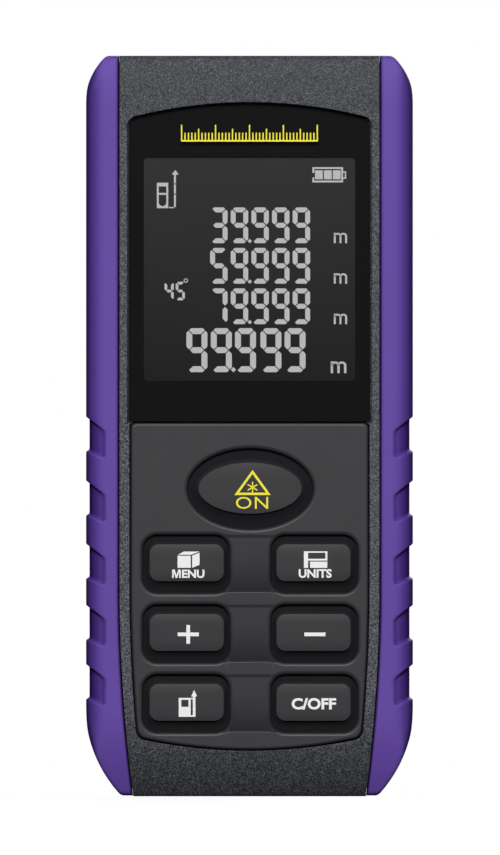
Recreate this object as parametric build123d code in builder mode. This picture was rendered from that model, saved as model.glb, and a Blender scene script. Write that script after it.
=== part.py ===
"""Pocket laser distance meter, standing on its base end, beam pointing up.

Frame, in millimetres: +Z runs along the laser beam from the base end, which is the measuring datum, to
the optics end.  -Y is the front, with the display and keypad.  +X is to the right when facing the front.
The origin is the centre of the base end.
"""

import os
from math import sqrt

from build123d import *

# ---------------------------------------------------------------- driving dimensions
LENGTH = 112.5  # base end to optics end
WIDTH = 50.0  # across the grips
DEPTH = 25.5  # front frame to back face
FRONT = -DEPTH / 2  # y of the front frame
BACK = DEPTH / 2  # y of the back face
PARTING = -3.0  # y of the plane where front and rear shells meet

TOP_ARC_Z, TOP_ARC_R = 105.0, 10.2  # shoulder arc of the outline at the optics end
FOOT_ARC_Z, FOOT_ARC_R = 14.0, 20.3  # shoulder arc of the outline at the base end
FLAT_HALF, CREST_HALF, CREST_DROP, SIDE_ROUND = 18.4, 21.8, 0.4, 3.1  # cross-section
SEAM_X, SEAM_Z, SEAM_R = 19.75, 32.0, 244.0  # seam between grips and casing, drawn in below SEAM_Z
SEAM_GAP = 0.2
GRIP_SIDE, GRIP_FACE = 2.0, 1.6  # grip thickness at the side and on the front and back faces

WINDOW_INSET, KEYPAD_INSET = 1.35, 1.7  # casing strips between the seam and the window or keypad
PANEL_GAP = 0.2
WINDOW_BOTTOM, WINDOW_SHOULDER, WINDOW_CROWN = 56.9, 102.8, 105.25  # z of the window's edge
KEYPAD_TOP, KEYPAD_CORNER, KEYPAD_FOOT = 56.7, 9.0, 7.1  # z of the keypad's edge

WINDOW_FACE, WINDOW_THICK = FRONT + 0.05, 1.4
MASK_THICK, TAPE_THICK = 0.08, 0.07
LEDGE_FACE = WINDOW_FACE + WINDOW_THICK + MASK_THICK + TAPE_THICK
CAVITY_FRONT, CAVITY_BACK = -10.2, 10.9

VIEW_W, VIEW_H, VIEW_Z = 32.1, 33.9, 80.05  # visible area of the display and the height of its middle
LCD_Y, LCD_THICK = -10.1, 1.8
BOARD_Y, BOARD_THICK = -6.3, 1.2  # front face of the main board

MAT_FACE, MAT_FLANGE_FACE, MAT_BACK = FRONT + 0.3, -11.05, -10.3
MOAT_DEPTH, TROUGH_DEPTH = 0.95, 0.18
KEY_FACE = FRONT + 0.12
KEY_GAP = 0.15
KEY_TRAVEL = 0.8
PAD_THICK = 0.05
PILL_THICK = 0.4
KEY_SHIFT, KEY_COLUMN = 0.1, 9.75  # middle of the key pattern, and columns either side of it
KEY_ROWS = (35.3, 24.7, 14.1)
KEY_W, KEY_H, KEY_R = 11.1, 5.9, 1.3
MOAT_W, MOAT_H, MOAT_R = 13.2, 8.8, 2.3
MEASURE_Z, MEASURE_W, MEASURE_H = 46.7, 16.2, 8.4
MEASURE_MOAT_W, MEASURE_MOAT_H = 19.1, 12.2

SCREW_POINTS = ((17.2, 105.4), (-17.2, 105.4), (15.6, 5.1), (-15.6, 5.1))
FRONT_BOSS_R, REAR_BOSS_R, SCREW_SHANK_R, SCREW_HEAD_R = 2.25, 2.9, 0.95, 1.9
SCREW_SEAT, SCREW_TIP = 3.0, -9.4  # y of the head's seat and of the tip
HEAD_THICK = 1.5
BOARD_POSTS = ((16.0, 59.6), (-16.0, 59.6), (15.4, 101.9), (-15.4, 101.9))
POST_R, SMALL_SHANK_R, SMALL_HEAD_R, SMALL_HEAD = 1.5, 0.7, 1.3, 0.9

CELL_R, CELL_LENGTH, CELL_X, CELL_Y = 5.2, 44.5, 5.6, 5.6
BAY_FOOT, BAY_TOP, BAY_HALF, BAY_FLOOR = 10.6, 59.8, 11.2, 0.0
TRAY_WALL, TRAY_FLOOR, RIM_WALL, RIM_DEPTH = 1.3, 1.5, 2.8, 9.2
PLATE_THICK, SPRING_R, WIRE_R = 0.4, 3.4, 0.3
COVER_FOOT, COVER_TOP, COVER_HALF, COVER_THICK = 7.6, 64.6, 13.0, 1.6
COVER_GAP = 0.2
TAB_X, TAB_W, TAB_REACH = 7.0, 4.0, 3.6
LATCH_W, LATCH_NUB = 7.0, 0.5

LENS_X, BARREL_X, OPTICS_Y = -6.2, 9.2, 1.7
LENS_R, BARREL_R, EMITTER_R = 5.7, 3.6, 2.5
BEZEL_HALF, BEZEL_FRONT, BEZEL_BACK, BEZEL_THICK = 15.0, -6.2, 9.6, 1.8
BEZEL_SINK = 0.1
BRACKET_HALF, BRACKET_FRONT, BRACKET_BACK, BRACKET_FOOT = 13.6, -4.9, 8.3, 84.0
LUG_X, LUG_Z, LUG_Y = 16.0, 87.0, 2.0


# ---------------------------------------------------------------- outlines and planes
def front_plane(y):
    """Sketch plane facing the front, at depth y: an extrude from it runs towards the front."""
    return Plane.XZ.offset(-y)


def half_width(z, inset=0.0):
    """Half the width of the outline at height z, moved in by inset at right angles to the outline."""
    if z > TOP_ARC_Z:
        return WIDTH / 2 - TOP_ARC_R + sqrt((TOP_ARC_R - inset) ** 2 - (z - TOP_ARC_Z) ** 2)
    if z < FOOT_ARC_Z:
        return WIDTH / 2 - FOOT_ARC_R + sqrt((FOOT_ARC_R - inset) ** 2 - (FOOT_ARC_Z - z) ** 2)
    return WIDTH / 2 - inset


def seam_x(z, inset=0.0):
    """Half the width between the two seams at height z, less inset."""
    drawn_in = (SEAM_Z - z) ** 2 / (2 * SEAM_R) if z < SEAM_Z else 0.0
    return SEAM_X - drawn_in - inset


def body_outline(inset=0.0):
    """Closed front-view outline of the whole body."""
    foot_mid = FOOT_ARC_Z * 0.4
    top_mid = (TOP_ARC_Z + LENGTH) / 2
    with BuildSketch(Plane.XY) as outline:
        with BuildLine():
            right_foot = ThreePointArc(
                (half_width(0, inset), 0),
                (half_width(foot_mid, inset), foot_mid),
                (WIDTH / 2 - inset, FOOT_ARC_Z),
            )
            right_side = Line(right_foot @ 1, (WIDTH / 2 - inset, TOP_ARC_Z))
            ThreePointArc(
                right_side @ 1,
                (half_width(top_mid, inset), top_mid),
                (half_width(LENGTH, inset), LENGTH),
            )
            Line((half_width(LENGTH, inset), LENGTH), (0, LENGTH))
            Line((0, LENGTH), (0, 0))
            Line((0, 0), right_foot @ 0)
        make_face()
        mirror(about=Plane.YZ)
    return outline.sketch


def seam_outline(inset=0.0):
    """Closed front-view outline of the casing between the two seams."""
    with BuildSketch(Plane.XY) as outline:
        with BuildLine():
            lower = ThreePointArc(
                (seam_x(0, inset), 0), (seam_x(SEAM_Z / 2, inset), SEAM_Z / 2), (SEAM_X - inset, SEAM_Z)
            )
            upper = Line(lower @ 1, (SEAM_X - inset, LENGTH))
            Polyline(upper @ 1, (0, LENGTH), (0, 0), lower @ 0)
        make_face()
        mirror(about=Plane.YZ)
    return outline.sketch


def cross_section(inset_side=0.0, inset_face=0.0):
    """Closed section across the body: flat front and back, eased edges, rounded corners."""
    half, face = WIDTH / 2 - inset_side, BACK - inset_face
    crest, rounding = CREST_HALF - inset_side, SIDE_ROUND
    low = face - CREST_DROP
    with BuildSketch(Plane.XY) as section:
        with BuildLine():
            flat = Line((0, face), (FLAT_HALF - inset_side, face))
            eased = TangentArc(flat @ 1, (crest, low), tangent=(1, 0))
            corner = ThreePointArc(eased @ 1, (half - 0.9, low - 1.05), (half, low - rounding))
            Polyline(corner @ 1, (half, 0), (0, 0), flat @ 0)
        make_face()
        mirror(about=Plane.YZ)
        mirror(about=Plane.XZ)
    return section.sketch


def side_profile(inset=0.0):
    """Closed side-view outline of the body: nearly flat faces that fall away at both ends."""
    front, back = FRONT + inset, BACK - inset
    with BuildSketch(Plane.XY) as profile:
        with BuildLine():
            foot = Line((front + 3.0, 0), (back - 2.2, 0))
            heel = ThreePointArc(foot @ 1, (back - 0.55, 1.1), (back, 4.0))
            rear = Line(heel @ 1, (back, LENGTH - 4.0))
            neck = ThreePointArc(rear @ 1, (back - 0.55, LENGTH - 1.1), (back - 2.2, LENGTH))
            top = Line(neck @ 1, (front + 1.5, LENGTH))
            brow = ThreePointArc(top @ 1, (front + 0.95, LENGTH - 0.25), (front + 0.7, LENGTH - 0.9))
            face = ThreePointArc(brow @ 1, (front + 0.2, LENGTH - 4.2), (front, LENGTH - 9.0))
            flat = Line(face @ 1, (front, 14.0))
            ThreePointArc(flat @ 1, (front + 0.75, 6.4), foot @ 0)
        make_face()
    return profile.sketch


def window_outline(grow=0.0):
    """Closed front-view outline of the display window, crowned at the top."""
    half = SEAM_X - WINDOW_INSET + grow
    with BuildSketch(Plane.XY) as outline:
        with BuildLine():
            sides = Polyline(
                (-half, WINDOW_SHOULDER + grow),
                (-half, WINDOW_BOTTOM - grow),
                (half, WINDOW_BOTTOM - grow),
                (half, WINDOW_SHOULDER + grow),
            )
            ThreePointArc(sides @ 1, (0, WINDOW_CROWN + grow), sides @ 0)
        make_face()
        shoulders = outline.vertices().group_by(Axis.Y)[-1]
        fillet(shoulders, 1.6)
    return outline.sketch


def keypad_outline(grow=0.0):
    """Closed front-view outline of the keypad, drawn in and rounded at its foot."""
    inset = KEYPAD_INSET - grow
    top = KEYPAD_TOP + grow
    corner = KEYPAD_CORNER - grow
    middle = (SEAM_Z + corner) / 2
    with BuildSketch(Plane.XY) as outline:
        with BuildLine():
            right = Line((SEAM_X - inset, top), (SEAM_X - inset, SEAM_Z))
            lower = ThreePointArc(right @ 1, (seam_x(middle, inset), middle), (seam_x(corner, inset), corner))
            foot = ThreePointArc(lower @ 1, (0, KEYPAD_FOOT - grow), (-seam_x(corner, inset), corner))
            left = ThreePointArc(foot @ 1, (-seam_x(middle, inset), middle), (-SEAM_X + inset, SEAM_Z))
            Polyline(left @ 1, (-SEAM_X + inset, top), right @ 0)
        make_face()
        fillet(outline.vertices().group_by(Axis.Y)[-1], 0.8)
        corners = [v for v in outline.vertices() if abs(v.Y - corner) < 0.01]
        fillet(corners, 1.6)
    return outline.sketch


def cavity_outline(half):
    """Front-view outline of the hollow inside the casing."""
    with BuildSketch(Plane.XY) as outline:
        with BuildLine():
            Polyline((0, 2.0), (15.2, 2.0), (half, 14.0), (half, 103.0), (17.4, 109.4), (0, 109.4))
            Line((0, 109.4), (0, 2.0))
        make_face()
        mirror(about=Plane.YZ)
    return outline.sketch


def seal_outline(grow):
    """Front-view outline running round the hollow in the middle of the casing wall."""
    with BuildSketch(Plane.XY) as outline:
        add(cavity_outline(21.0))
        offset(amount=grow, kind=Kind.INTERSECTION)
    return outline.sketch


def key_outline(name, grow=0.0):
    """Front-view outline of a key about its own centre: an oval for the measure key."""
    with BuildSketch(Plane.XY) as outline:
        if name == "measure":
            Ellipse(MEASURE_W / 2 + grow, MEASURE_H / 2 + grow)
        else:
            RectangleRounded(KEY_W + 2 * grow, KEY_H + 2 * grow, KEY_R + grow)
    return outline.sketch


def moat_outline(name, grow=0.0):
    """Front-view outline of the hollow that a key stands in, about the key's centre."""
    with BuildSketch(Plane.XY) as outline:
        if name == "measure":
            Ellipse(MEASURE_MOAT_W / 2 + grow, MEASURE_MOAT_H / 2 + grow)
        else:
            RectangleRounded(MOAT_W + 2 * grow, MOAT_H + 2 * grow, MOAT_R + grow)
    return outline.sketch


LEFT_COLUMN, RIGHT_COLUMN = KEY_SHIFT - KEY_COLUMN, KEY_SHIFT + KEY_COLUMN
KEYS = {
    "measure": (KEY_SHIFT, MEASURE_Z),
    "menu": (LEFT_COLUMN, KEY_ROWS[0]),
    "units": (RIGHT_COLUMN, KEY_ROWS[0]),
    "plus": (LEFT_COLUMN, KEY_ROWS[1]),
    "minus": (RIGHT_COLUMN, KEY_ROWS[1]),
    "reference": (LEFT_COLUMN, KEY_ROWS[2]),
    "clear": (RIGHT_COLUMN, KEY_ROWS[2]),
}


def slab(sketch, y_front, y_back):
    """Plate with a front-view outline between two depths, as a separate solid."""
    with BuildPart() as plate:
        with BuildSketch(front_plane(y_back)):
            add(sketch)
        extrude(amount=y_back - y_front)
    return plate.part


# ---------------------------------------------------------------- shared bodies
def trimmed_body(inset_side, inset_face):
    """Whole body, or its core, as the common volume of its front, side and cross-section outlines."""
    with BuildPart() as body:
        with BuildSketch(Plane.XY):
            add(cross_section(inset_side, inset_face))
        extrude(amount=LENGTH)
        add(slab(body_outline(inset_side), FRONT, BACK), mode=Mode.INTERSECT)
        with BuildSketch(Plane.YZ):
            add(side_profile(inset_face))
        extrude(amount=WIDTH / 2, both=True, mode=Mode.INTERSECT)
    return body.part


with BuildPart() as outer_body:
    add(trimmed_body(0, 0))

with BuildPart() as core_body:
    add(trimmed_body(GRIP_SIDE, GRIP_FACE))

with BuildPart() as casing_body:
    add(slab(seam_outline(), FRONT, BACK))
    add(outer_body.part, mode=Mode.INTERSECT)
    add(core_body.part)

with BuildPart() as cavity:
    add(slab(cavity_outline(19.4), CAVITY_FRONT, CAVITY_BACK))
    add(slab(cavity_outline(21.0), -9.2, 9.2))

with BuildPart() as bezel_space:
    with BuildSketch(Plane.XY.offset(LENGTH - BEZEL_THICK - BEZEL_SINK)):
        with Locations((0, (BEZEL_FRONT + BEZEL_BACK) / 2)):
            RectangleRounded(2 * BEZEL_HALF, BEZEL_BACK - BEZEL_FRONT, 3.0)
    extrude(amount=BEZEL_THICK + 1.0)
    with BuildSketch(Plane.XY.offset(LENGTH - 8.0)):
        with Locations((0, (BEZEL_FRONT + BEZEL_BACK) / 2)):
            RectangleRounded(2 * BEZEL_HALF - 2.0, BEZEL_BACK - BEZEL_FRONT - 2.0, 2.0)
    extrude(amount=8.0)

with BuildPart() as front_half:
    with Locations((0, (PARTING + FRONT) / 2, LENGTH / 2)):
        Box(WIDTH, PARTING - FRONT, LENGTH)


def ring(outer, inner, y_front, y_back):
    """Ring between two front-view outlines and two depths."""
    with BuildPart() as band:
        add(slab(outer, y_front, y_back))
        add(slab(inner, y_front, y_back), mode=Mode.SUBTRACT)
    return band.part


def pins(points, radius, y_front, y_back):
    """Round pins along Y at the given front-view points."""
    with BuildPart() as pegs:
        with BuildSketch(front_plane(y_back)):
            with Locations(*points):
                Circle(radius)
        extrude(amount=y_back - y_front)
    return pegs.part


def block(x_half, y_front, y_back, z_low, z_high):
    """Block centred on x = 0."""
    with BuildPart() as solid_block:
        with Locations((0, (y_front + y_back) / 2, (z_low + z_high) / 2)):
            Box(2 * x_half, y_back - y_front, z_high - z_low)
    return solid_block.part


def screws(points, shank_r, head_r, head, y_seat, y_tip, out):
    """Pan-head screws along Y: seat at y_seat, tip at y_tip, head standing off towards out."""
    head_front, head_back = sorted((y_seat, y_seat + out * head))
    with BuildPart() as fasteners:
        add(pins(points, shank_r, min(y_tip, y_seat), max(y_tip, y_seat)))
        add(pins(points, head_r, head_front, head_back))
        with Locations(*[(x, y_seat + out * head, z) for x, z in points]):
            Box(2 * head_r * 0.62, head * 0.7, head_r * 0.28, mode=Mode.SUBTRACT)
            Box(head_r * 0.28, head * 0.7, 2 * head_r * 0.62, mode=Mode.SUBTRACT)
    return fasteners.part


def save(part, name):
    """Label a finished part and write its file."""
    part.label = name
    export_step(part, f"parts/{name}.step")


os.makedirs("parts", exist_ok=True)

# ---------------------------------------------------------------- casing
SEAL_OUT, SEAL_IN, SEAL_DEPTH, SEAL_END = 1.3, 0.6, 0.7, 106.0
with BuildPart() as case_seal:
    add(ring(seal_outline(SEAL_OUT), seal_outline(SEAL_IN), PARTING, PARTING + SEAL_DEPTH))
    add(block(WIDTH, PARTING, PARTING + SEAL_DEPTH, SEAL_END, LENGTH), mode=Mode.SUBTRACT)
save(case_seal.part, "case_seal")

with BuildPart() as front_shell:
    add(casing_body.part)
    add(front_half.part, mode=Mode.INTERSECT)
    add(cavity.part, mode=Mode.SUBTRACT)
    add(pins(SCREW_POINTS, FRONT_BOSS_R, CAVITY_FRONT, PARTING))
    add(pins(BOARD_POSTS, POST_R, CAVITY_FRONT, BOARD_Y))
    add(bezel_space.part, mode=Mode.SUBTRACT)
    add(slab(window_outline(PANEL_GAP), FRONT, LEDGE_FACE), mode=Mode.SUBTRACT)
    add(slab(keypad_outline(PANEL_GAP), FRONT, CAVITY_FRONT), mode=Mode.SUBTRACT)
    add(slab(keypad_outline(1.2), MAT_FLANGE_FACE - 0.05, CAVITY_FRONT), mode=Mode.SUBTRACT)
    with BuildSketch(front_plane(CAVITY_FRONT)):
        with Locations((0, VIEW_Z)):
            RectangleRounded(VIEW_W + 0.6, VIEW_H + 0.6, 0.8)
    extrude(amount=CAVITY_FRONT - FRONT, mode=Mode.SUBTRACT)
    add(pins(SCREW_POINTS, SCREW_SHANK_R, SCREW_TIP, PARTING), mode=Mode.SUBTRACT)
    add(pins(BOARD_POSTS, SMALL_SHANK_R, CAVITY_FRONT + 0.8, BOARD_Y), mode=Mode.SUBTRACT)
save(front_shell.part, "front_shell")

RECESS_FLOOR = BACK - COVER_THICK - 0.05
LABEL_W, LABEL_H, LABEL_Z, LABEL_THICK = 30.0, 26.0, 84.0, 0.12
TAB_SLOTS = (-TAB_X, TAB_X)
with BuildPart() as rear_shell:
    add(casing_body.part)
    add(front_half.part, mode=Mode.SUBTRACT)
    add(cavity.part, mode=Mode.SUBTRACT)
    add(pins(SCREW_POINTS, REAR_BOSS_R, PARTING, CAVITY_BACK))
    add(pins(((LUG_X, LUG_Z), (-LUG_X, LUG_Z)), POST_R, LUG_Y, CAVITY_BACK))
    tray_foot, tray_top = BAY_FOOT - TRAY_WALL, BAY_TOP + TRAY_WALL
    add(block(BAY_HALF + TRAY_WALL, BAY_FLOOR - TRAY_FLOOR, CAVITY_BACK, tray_foot, tray_top))
    add(block(BAY_HALF + RIM_WALL, RIM_DEPTH, CAVITY_BACK, COVER_FOOT - 1.0, COVER_TOP + 1.5))
    add(block(BAY_HALF, BAY_FLOOR, BACK, BAY_FOOT, BAY_TOP), mode=Mode.SUBTRACT)
    add(bezel_space.part, mode=Mode.SUBTRACT)
    with BuildSketch(front_plane(BACK)):
        with Locations((0, (COVER_FOOT + COVER_TOP) / 2)):
            RectangleRounded(2 * (COVER_HALF + COVER_GAP), COVER_TOP - COVER_FOOT + 2 * COVER_GAP, 1.6)
    extrude(amount=BACK - RECESS_FLOOR, mode=Mode.SUBTRACT)
    with Locations(*[(x, (RIM_DEPTH - 0.7 + RECESS_FLOOR) / 2, COVER_FOOT + 0.2) for x in TAB_SLOTS]):
        Box(TAB_W + 0.6, RECESS_FLOOR - RIM_DEPTH + 0.7, 6.2, mode=Mode.SUBTRACT)
    with Locations((0, RECESS_FLOOR - 1.3, COVER_TOP - 0.5)):
        Box(LATCH_W + 0.8, 2.6, 3.4, mode=Mode.SUBTRACT)
    with Locations((0, BACK, COVER_TOP + 1.2)):
        Box(LATCH_W + 2.0, 1.8, 2.8, mode=Mode.SUBTRACT)
    with BuildSketch(front_plane(BACK)):
        with Locations((0, LABEL_Z)):
            RectangleRounded(LABEL_W + 0.3, LABEL_H + 0.3, 2.0)
    extrude(amount=LABEL_THICK, mode=Mode.SUBTRACT)
    add(pins(SCREW_POINTS, SCREW_HEAD_R + 0.2, SCREW_SEAT, BACK), mode=Mode.SUBTRACT)
    add(pins(SCREW_POINTS, SCREW_SHANK_R, PARTING, SCREW_SEAT), mode=Mode.SUBTRACT)
    add(pins(((LUG_X, LUG_Z), (-LUG_X, LUG_Z)), SMALL_SHANK_R, LUG_Y, LUG_Y + 4.0), mode=Mode.SUBTRACT)
    add(case_seal.part, mode=Mode.SUBTRACT)
save(rear_shell.part, "rear_shell")

# ---------------------------------------------------------------- grips
RECESS_CENTRES = (55.1, 45.4, 35.8, 26.5, 17.5)
RECESS_DEPTH = 0.55

with BuildPart() as recess_floor:
    add(trimmed_body(RECESS_DEPTH, RECESS_DEPTH))

with BuildPart() as recesses:
    with BuildSketch(front_plane(BACK)):
        for centre in RECESS_CENTRES:
            with BuildLine():
                Polyline(
                    (WIDTH / 2 + 0.5, centre + 3.0),
                    (21.9, centre + 0.4),
                    (21.9, centre - 3.9),
                    (WIDTH / 2 + 0.5, centre - 2.6),
                    close=True,
                )
            make_face()
        fillet([v for v in vertices() if abs(v.X - 21.9) < 0.01], 0.3)
    extrude(amount=DEPTH)
    add(recess_floor.part, mode=Mode.SUBTRACT)

with BuildPart() as grip_right:
    add(outer_body.part)
    add(slab(seam_outline(-SEAM_GAP), FRONT, BACK), mode=Mode.SUBTRACT)
    add(core_body.part, mode=Mode.SUBTRACT)
    with Locations((-WIDTH / 2, 0, LENGTH / 2)):
        Box(WIDTH, DEPTH, LENGTH, mode=Mode.SUBTRACT)
    add(block(WIDTH, FRONT, BACK, 0, 0.12), mode=Mode.SUBTRACT)
    add(recesses.part, mode=Mode.SUBTRACT)
save(grip_right.part, "grip_right")

with BuildPart() as grip_left:
    add(grip_right.part)
    mirror(about=Plane.YZ)
    with Locations((WIDTH / 2, 0, LENGTH / 2)):
        Box(WIDTH, DEPTH, LENGTH, mode=Mode.SUBTRACT)
save(grip_left.part, "grip_left")

# ---------------------------------------------------------------- display
with BuildPart() as display_window:
    add(slab(window_outline(), WINDOW_FACE, WINDOW_FACE + WINDOW_THICK))
    chamfer(display_window.faces().sort_by(Axis.Y)[0].edges(), 0.15)
save(display_window.part, "display_window")

MASK_FACE = WINDOW_FACE + WINDOW_THICK
TAPE_FACE = MASK_FACE + MASK_THICK


def view_cut(grow, radius, y_front, y_back):
    """Rectangular opening round the visible area of the display."""
    with BuildPart() as opening:
        with BuildSketch(front_plane(y_back)):
            with Locations((0, VIEW_Z)):
                RectangleRounded(VIEW_W + 2 * grow, VIEW_H + 2 * grow, radius)
        extrude(amount=y_back - y_front)
    return opening.part


with BuildPart() as window_border:
    add(slab(window_outline(-0.05), MASK_FACE, TAPE_FACE))
    add(view_cut(0, 0.6, MASK_FACE, TAPE_FACE), mode=Mode.SUBTRACT)
save(window_border.part, "window_border")

with BuildPart() as window_tape:
    add(slab(window_outline(-0.3), TAPE_FACE, LEDGE_FACE))
    add(view_cut(0.5, 0.8, TAPE_FACE, LEDGE_FACE), mode=Mode.SUBTRACT)
save(window_tape.part, "window_tape")

LCD_W, LCD_FOOT, LCD_TOP = 34.6, 61.3, 99.6
with BuildPart() as lcd_panel:
    add(block(LCD_W / 2, LCD_Y, LCD_Y + LCD_THICK / 2, LCD_FOOT + 2.4, LCD_TOP))
    add(block(LCD_W / 2, LCD_Y + LCD_THICK / 2, LCD_Y + LCD_THICK, LCD_FOOT, LCD_TOP))
save(lcd_panel.part, "lcd_panel")

with BuildPart() as lcd_backlight:
    add(block(LCD_W / 2, LCD_Y + LCD_THICK, BOARD_Y, LCD_FOOT + 1.4, LCD_TOP))
    fillet(lcd_backlight.edges().filter_by(Axis.Y), 0.5)
save(lcd_backlight.part, "lcd_backlight")

FLEX_THICK, FLEX_HALF = 0.15, 13.0
with BuildPart() as lcd_flex:
    glass_back = LCD_Y + LCD_THICK
    with BuildSketch(Plane.YZ):
        with BuildLine():
            Polyline(
                (glass_back, LCD_FOOT + 1.1),
                (glass_back, LCD_FOOT - 0.7),
                (BOARD_Y - FLEX_THICK, LCD_FOOT - 0.7),
                (BOARD_Y - FLEX_THICK, LCD_FOOT - 2.9),
                (BOARD_Y, LCD_FOOT - 2.9),
                (BOARD_Y, LCD_FOOT - 0.7 + FLEX_THICK),
                (glass_back + FLEX_THICK, LCD_FOOT - 0.7 + FLEX_THICK),
                (glass_back + FLEX_THICK, LCD_FOOT + 1.1),
                close=True,
            )
        make_face()
    extrude(amount=FLEX_HALF, both=True)
save(lcd_flex.part, "lcd_flex")

# ---------------------------------------------------------------- keypad
SKIRT_OUT, SKIRT_IN = 0.3, 1.3
BOARD_FOOT, BOARD_TOP, BOARD_HALF = 8.6, 104.0, 18.6
PAD_FACE = BOARD_Y - PAD_THICK
PILL_FACE = PAD_FACE - KEY_TRAVEL - 0.02
MOAT_FLOOR = MAT_FACE + MOAT_DEPTH
WEB_BACK = MOAT_FLOOR + 0.5

with BuildPart() as keypad_mat:
    add(slab(keypad_outline(), MAT_FACE, MAT_BACK))
    add(slab(keypad_outline(0.9), MAT_FLANGE_FACE, MAT_BACK))
    add(block(WIDTH, MAT_FLANGE_FACE, MAT_BACK, KEYPAD_TOP, KEYPAD_TOP + 2.0), mode=Mode.SUBTRACT)
    add(ring(keypad_outline(-SKIRT_OUT), keypad_outline(-SKIRT_IN), MAT_BACK, BOARD_Y))
    for name, (key_x, key_z) in KEYS.items():
        with Locations((key_x, 0, key_z)):
            add(slab(moat_outline(name), MAT_FACE, MOAT_FLOOR), mode=Mode.SUBTRACT)
            add(slab(key_outline(name, KEY_GAP), MAT_FACE, MAT_BACK), mode=Mode.SUBTRACT)
            add(slab(moat_outline(name, -0.3), WEB_BACK, MAT_BACK), mode=Mode.SUBTRACT)
    for row_z in KEY_ROWS:
        low, high = row_z - MOAT_H / 2, row_z + MOAT_H / 2
        add(block(KEY_COLUMN, MAT_FACE, MAT_FACE + TROUGH_DEPTH, low, high), mode=Mode.SUBTRACT)
save(keypad_mat.part, "keypad_mat")

for name, (key_x, key_z) in KEYS.items():
    with BuildPart() as key:
        with Locations((key_x, 0, key_z)):
            add(slab(key_outline(name), KEY_FACE, WEB_BACK + 0.6))
        key_rim = key.faces().sort_by(Axis.Y)[0].edges()
        fillet(key_rim, 0.45)
        add(pins([(key_x, key_z)], 1.7, WEB_BACK + 0.6, PILL_FACE - PILL_THICK))
        add(pins([(key_x, key_z)], 1.4, PILL_FACE - PILL_THICK, PILL_FACE))
    save(key.part, f"key_{name}")

save(pins(KEYS.values(), 2.1, PAD_FACE, BOARD_Y), "contact_pads")

# ---------------------------------------------------------------- electronics
BOARD_BACK = BOARD_Y + BOARD_THICK
with BuildPart() as main_board:
    add(block(BOARD_HALF, BOARD_Y, BOARD_BACK, BOARD_FOOT, BOARD_TOP))
    fillet(main_board.edges().filter_by(Axis.Y).group_by(Axis.Z)[0], 3.0)
    add(pins(SCREW_POINTS, FRONT_BOSS_R + 0.4, BOARD_Y, BOARD_BACK), mode=Mode.SUBTRACT)
    add(pins(BOARD_POSTS, SMALL_SHANK_R + 0.15, BOARD_Y, BOARD_BACK), mode=Mode.SUBTRACT)
save(main_board.part, "main_board")


def chip(x, z, width, height, tall):
    """Packaged chip on the back of the main board, centred at x, z in front view."""
    with BuildPart() as package:
        with Locations((x, BOARD_BACK + tall / 2, z)):
            Box(width, tall, height)
    return package.part


with BuildPart() as board_chips:
    add(chip(-7.5, 44.0, width=10.0, height=10.0, tall=1.4))  # processor
    add(chip(8.0, 46.0, width=7.0, height=7.0, tall=1.1))  # timing
    add(chip(6.5, 32.0, width=6.0, height=5.0, tall=1.5))  # memory
    add(chip(-9.0, 30.0, width=4.0, height=3.0, tall=1.0))  # regulator
    add(chip(-9.0, 74.0, width=8.0, height=6.0, tall=1.3))  # display driver
    add(chip(13.0, 68.0, width=3.2, height=2.5, tall=1.0))  # buzzer driver
    add(chip(0.0, 20.0, width=5.0, height=4.0, tall=1.2))  # boost converter
save(board_chips.part, "board_chips")

BUZZER_SPOT = ((8.5, 77.0),)
with BuildPart() as buzzer:
    add(pins(BUZZER_SPOT, 4.5, BOARD_BACK, BOARD_BACK + 2.6))
    fillet(buzzer.edges().sort_by(Axis.Y)[-1], 0.4)
    add(pins(BUZZER_SPOT, 0.7, BOARD_BACK + 1.8, BOARD_BACK + 2.6), mode=Mode.SUBTRACT)
save(buzzer.part, "buzzer")

# ---------------------------------------------------------------- optics
BEZEL_FACE = LENGTH - BEZEL_SINK
BEZEL_UNDER = BEZEL_FACE - BEZEL_THICK
LENS_THICK, COLLIMATOR_R, COLLIMATOR_THICK = 2.6, 2.6, 2.0
BARREL_FOOT, BARREL_TOP, BARREL_BORE = 93.0, 108.0, 2.2
SENSOR_SIDE, SENSOR_FOOT = 8.0, 80.5
LENS_SPOT, BARREL_SPOT = (LENS_X, OPTICS_Y), (BARREL_X, OPTICS_Y)


def disc(spot, radius, z_low, z_high):
    """Round disc about a vertical axis at a plan-view point."""
    with BuildPart() as puck:
        with BuildSketch(Plane.XY.offset(z_low)):
            with Locations(spot):
                Circle(radius)
        extrude(amount=z_high - z_low)
    return puck.part


with BuildPart() as optics_bezel:
    with BuildSketch(Plane.XY.offset(BEZEL_UNDER)):
        with Locations((0, (BEZEL_FRONT + BEZEL_BACK) / 2)):
            RectangleRounded(2 * BEZEL_HALF - 0.2, BEZEL_BACK - BEZEL_FRONT - 0.2, 2.9)
    extrude(amount=BEZEL_THICK)
    add(disc(LENS_SPOT, LENS_R - 0.7, BEZEL_UNDER, BEZEL_FACE), mode=Mode.SUBTRACT)
    add(disc(BARREL_SPOT, EMITTER_R - 0.5, BEZEL_UNDER, BEZEL_FACE), mode=Mode.SUBTRACT)
    add(disc(BARREL_SPOT, EMITTER_R, BEZEL_FACE - 0.9, BEZEL_FACE), mode=Mode.SUBTRACT)
    top_rim = optics_bezel.faces().sort_by(Axis.Z)[-1].outer_wire().edges()
    chamfer(top_rim, 0.3)
save(optics_bezel.part, "optics_bezel")

with BuildPart() as emitter_window:
    add(disc(BARREL_SPOT, EMITTER_R, BEZEL_FACE - 0.9, BEZEL_FACE - 0.2))
save(emitter_window.part, "emitter_window")

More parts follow.
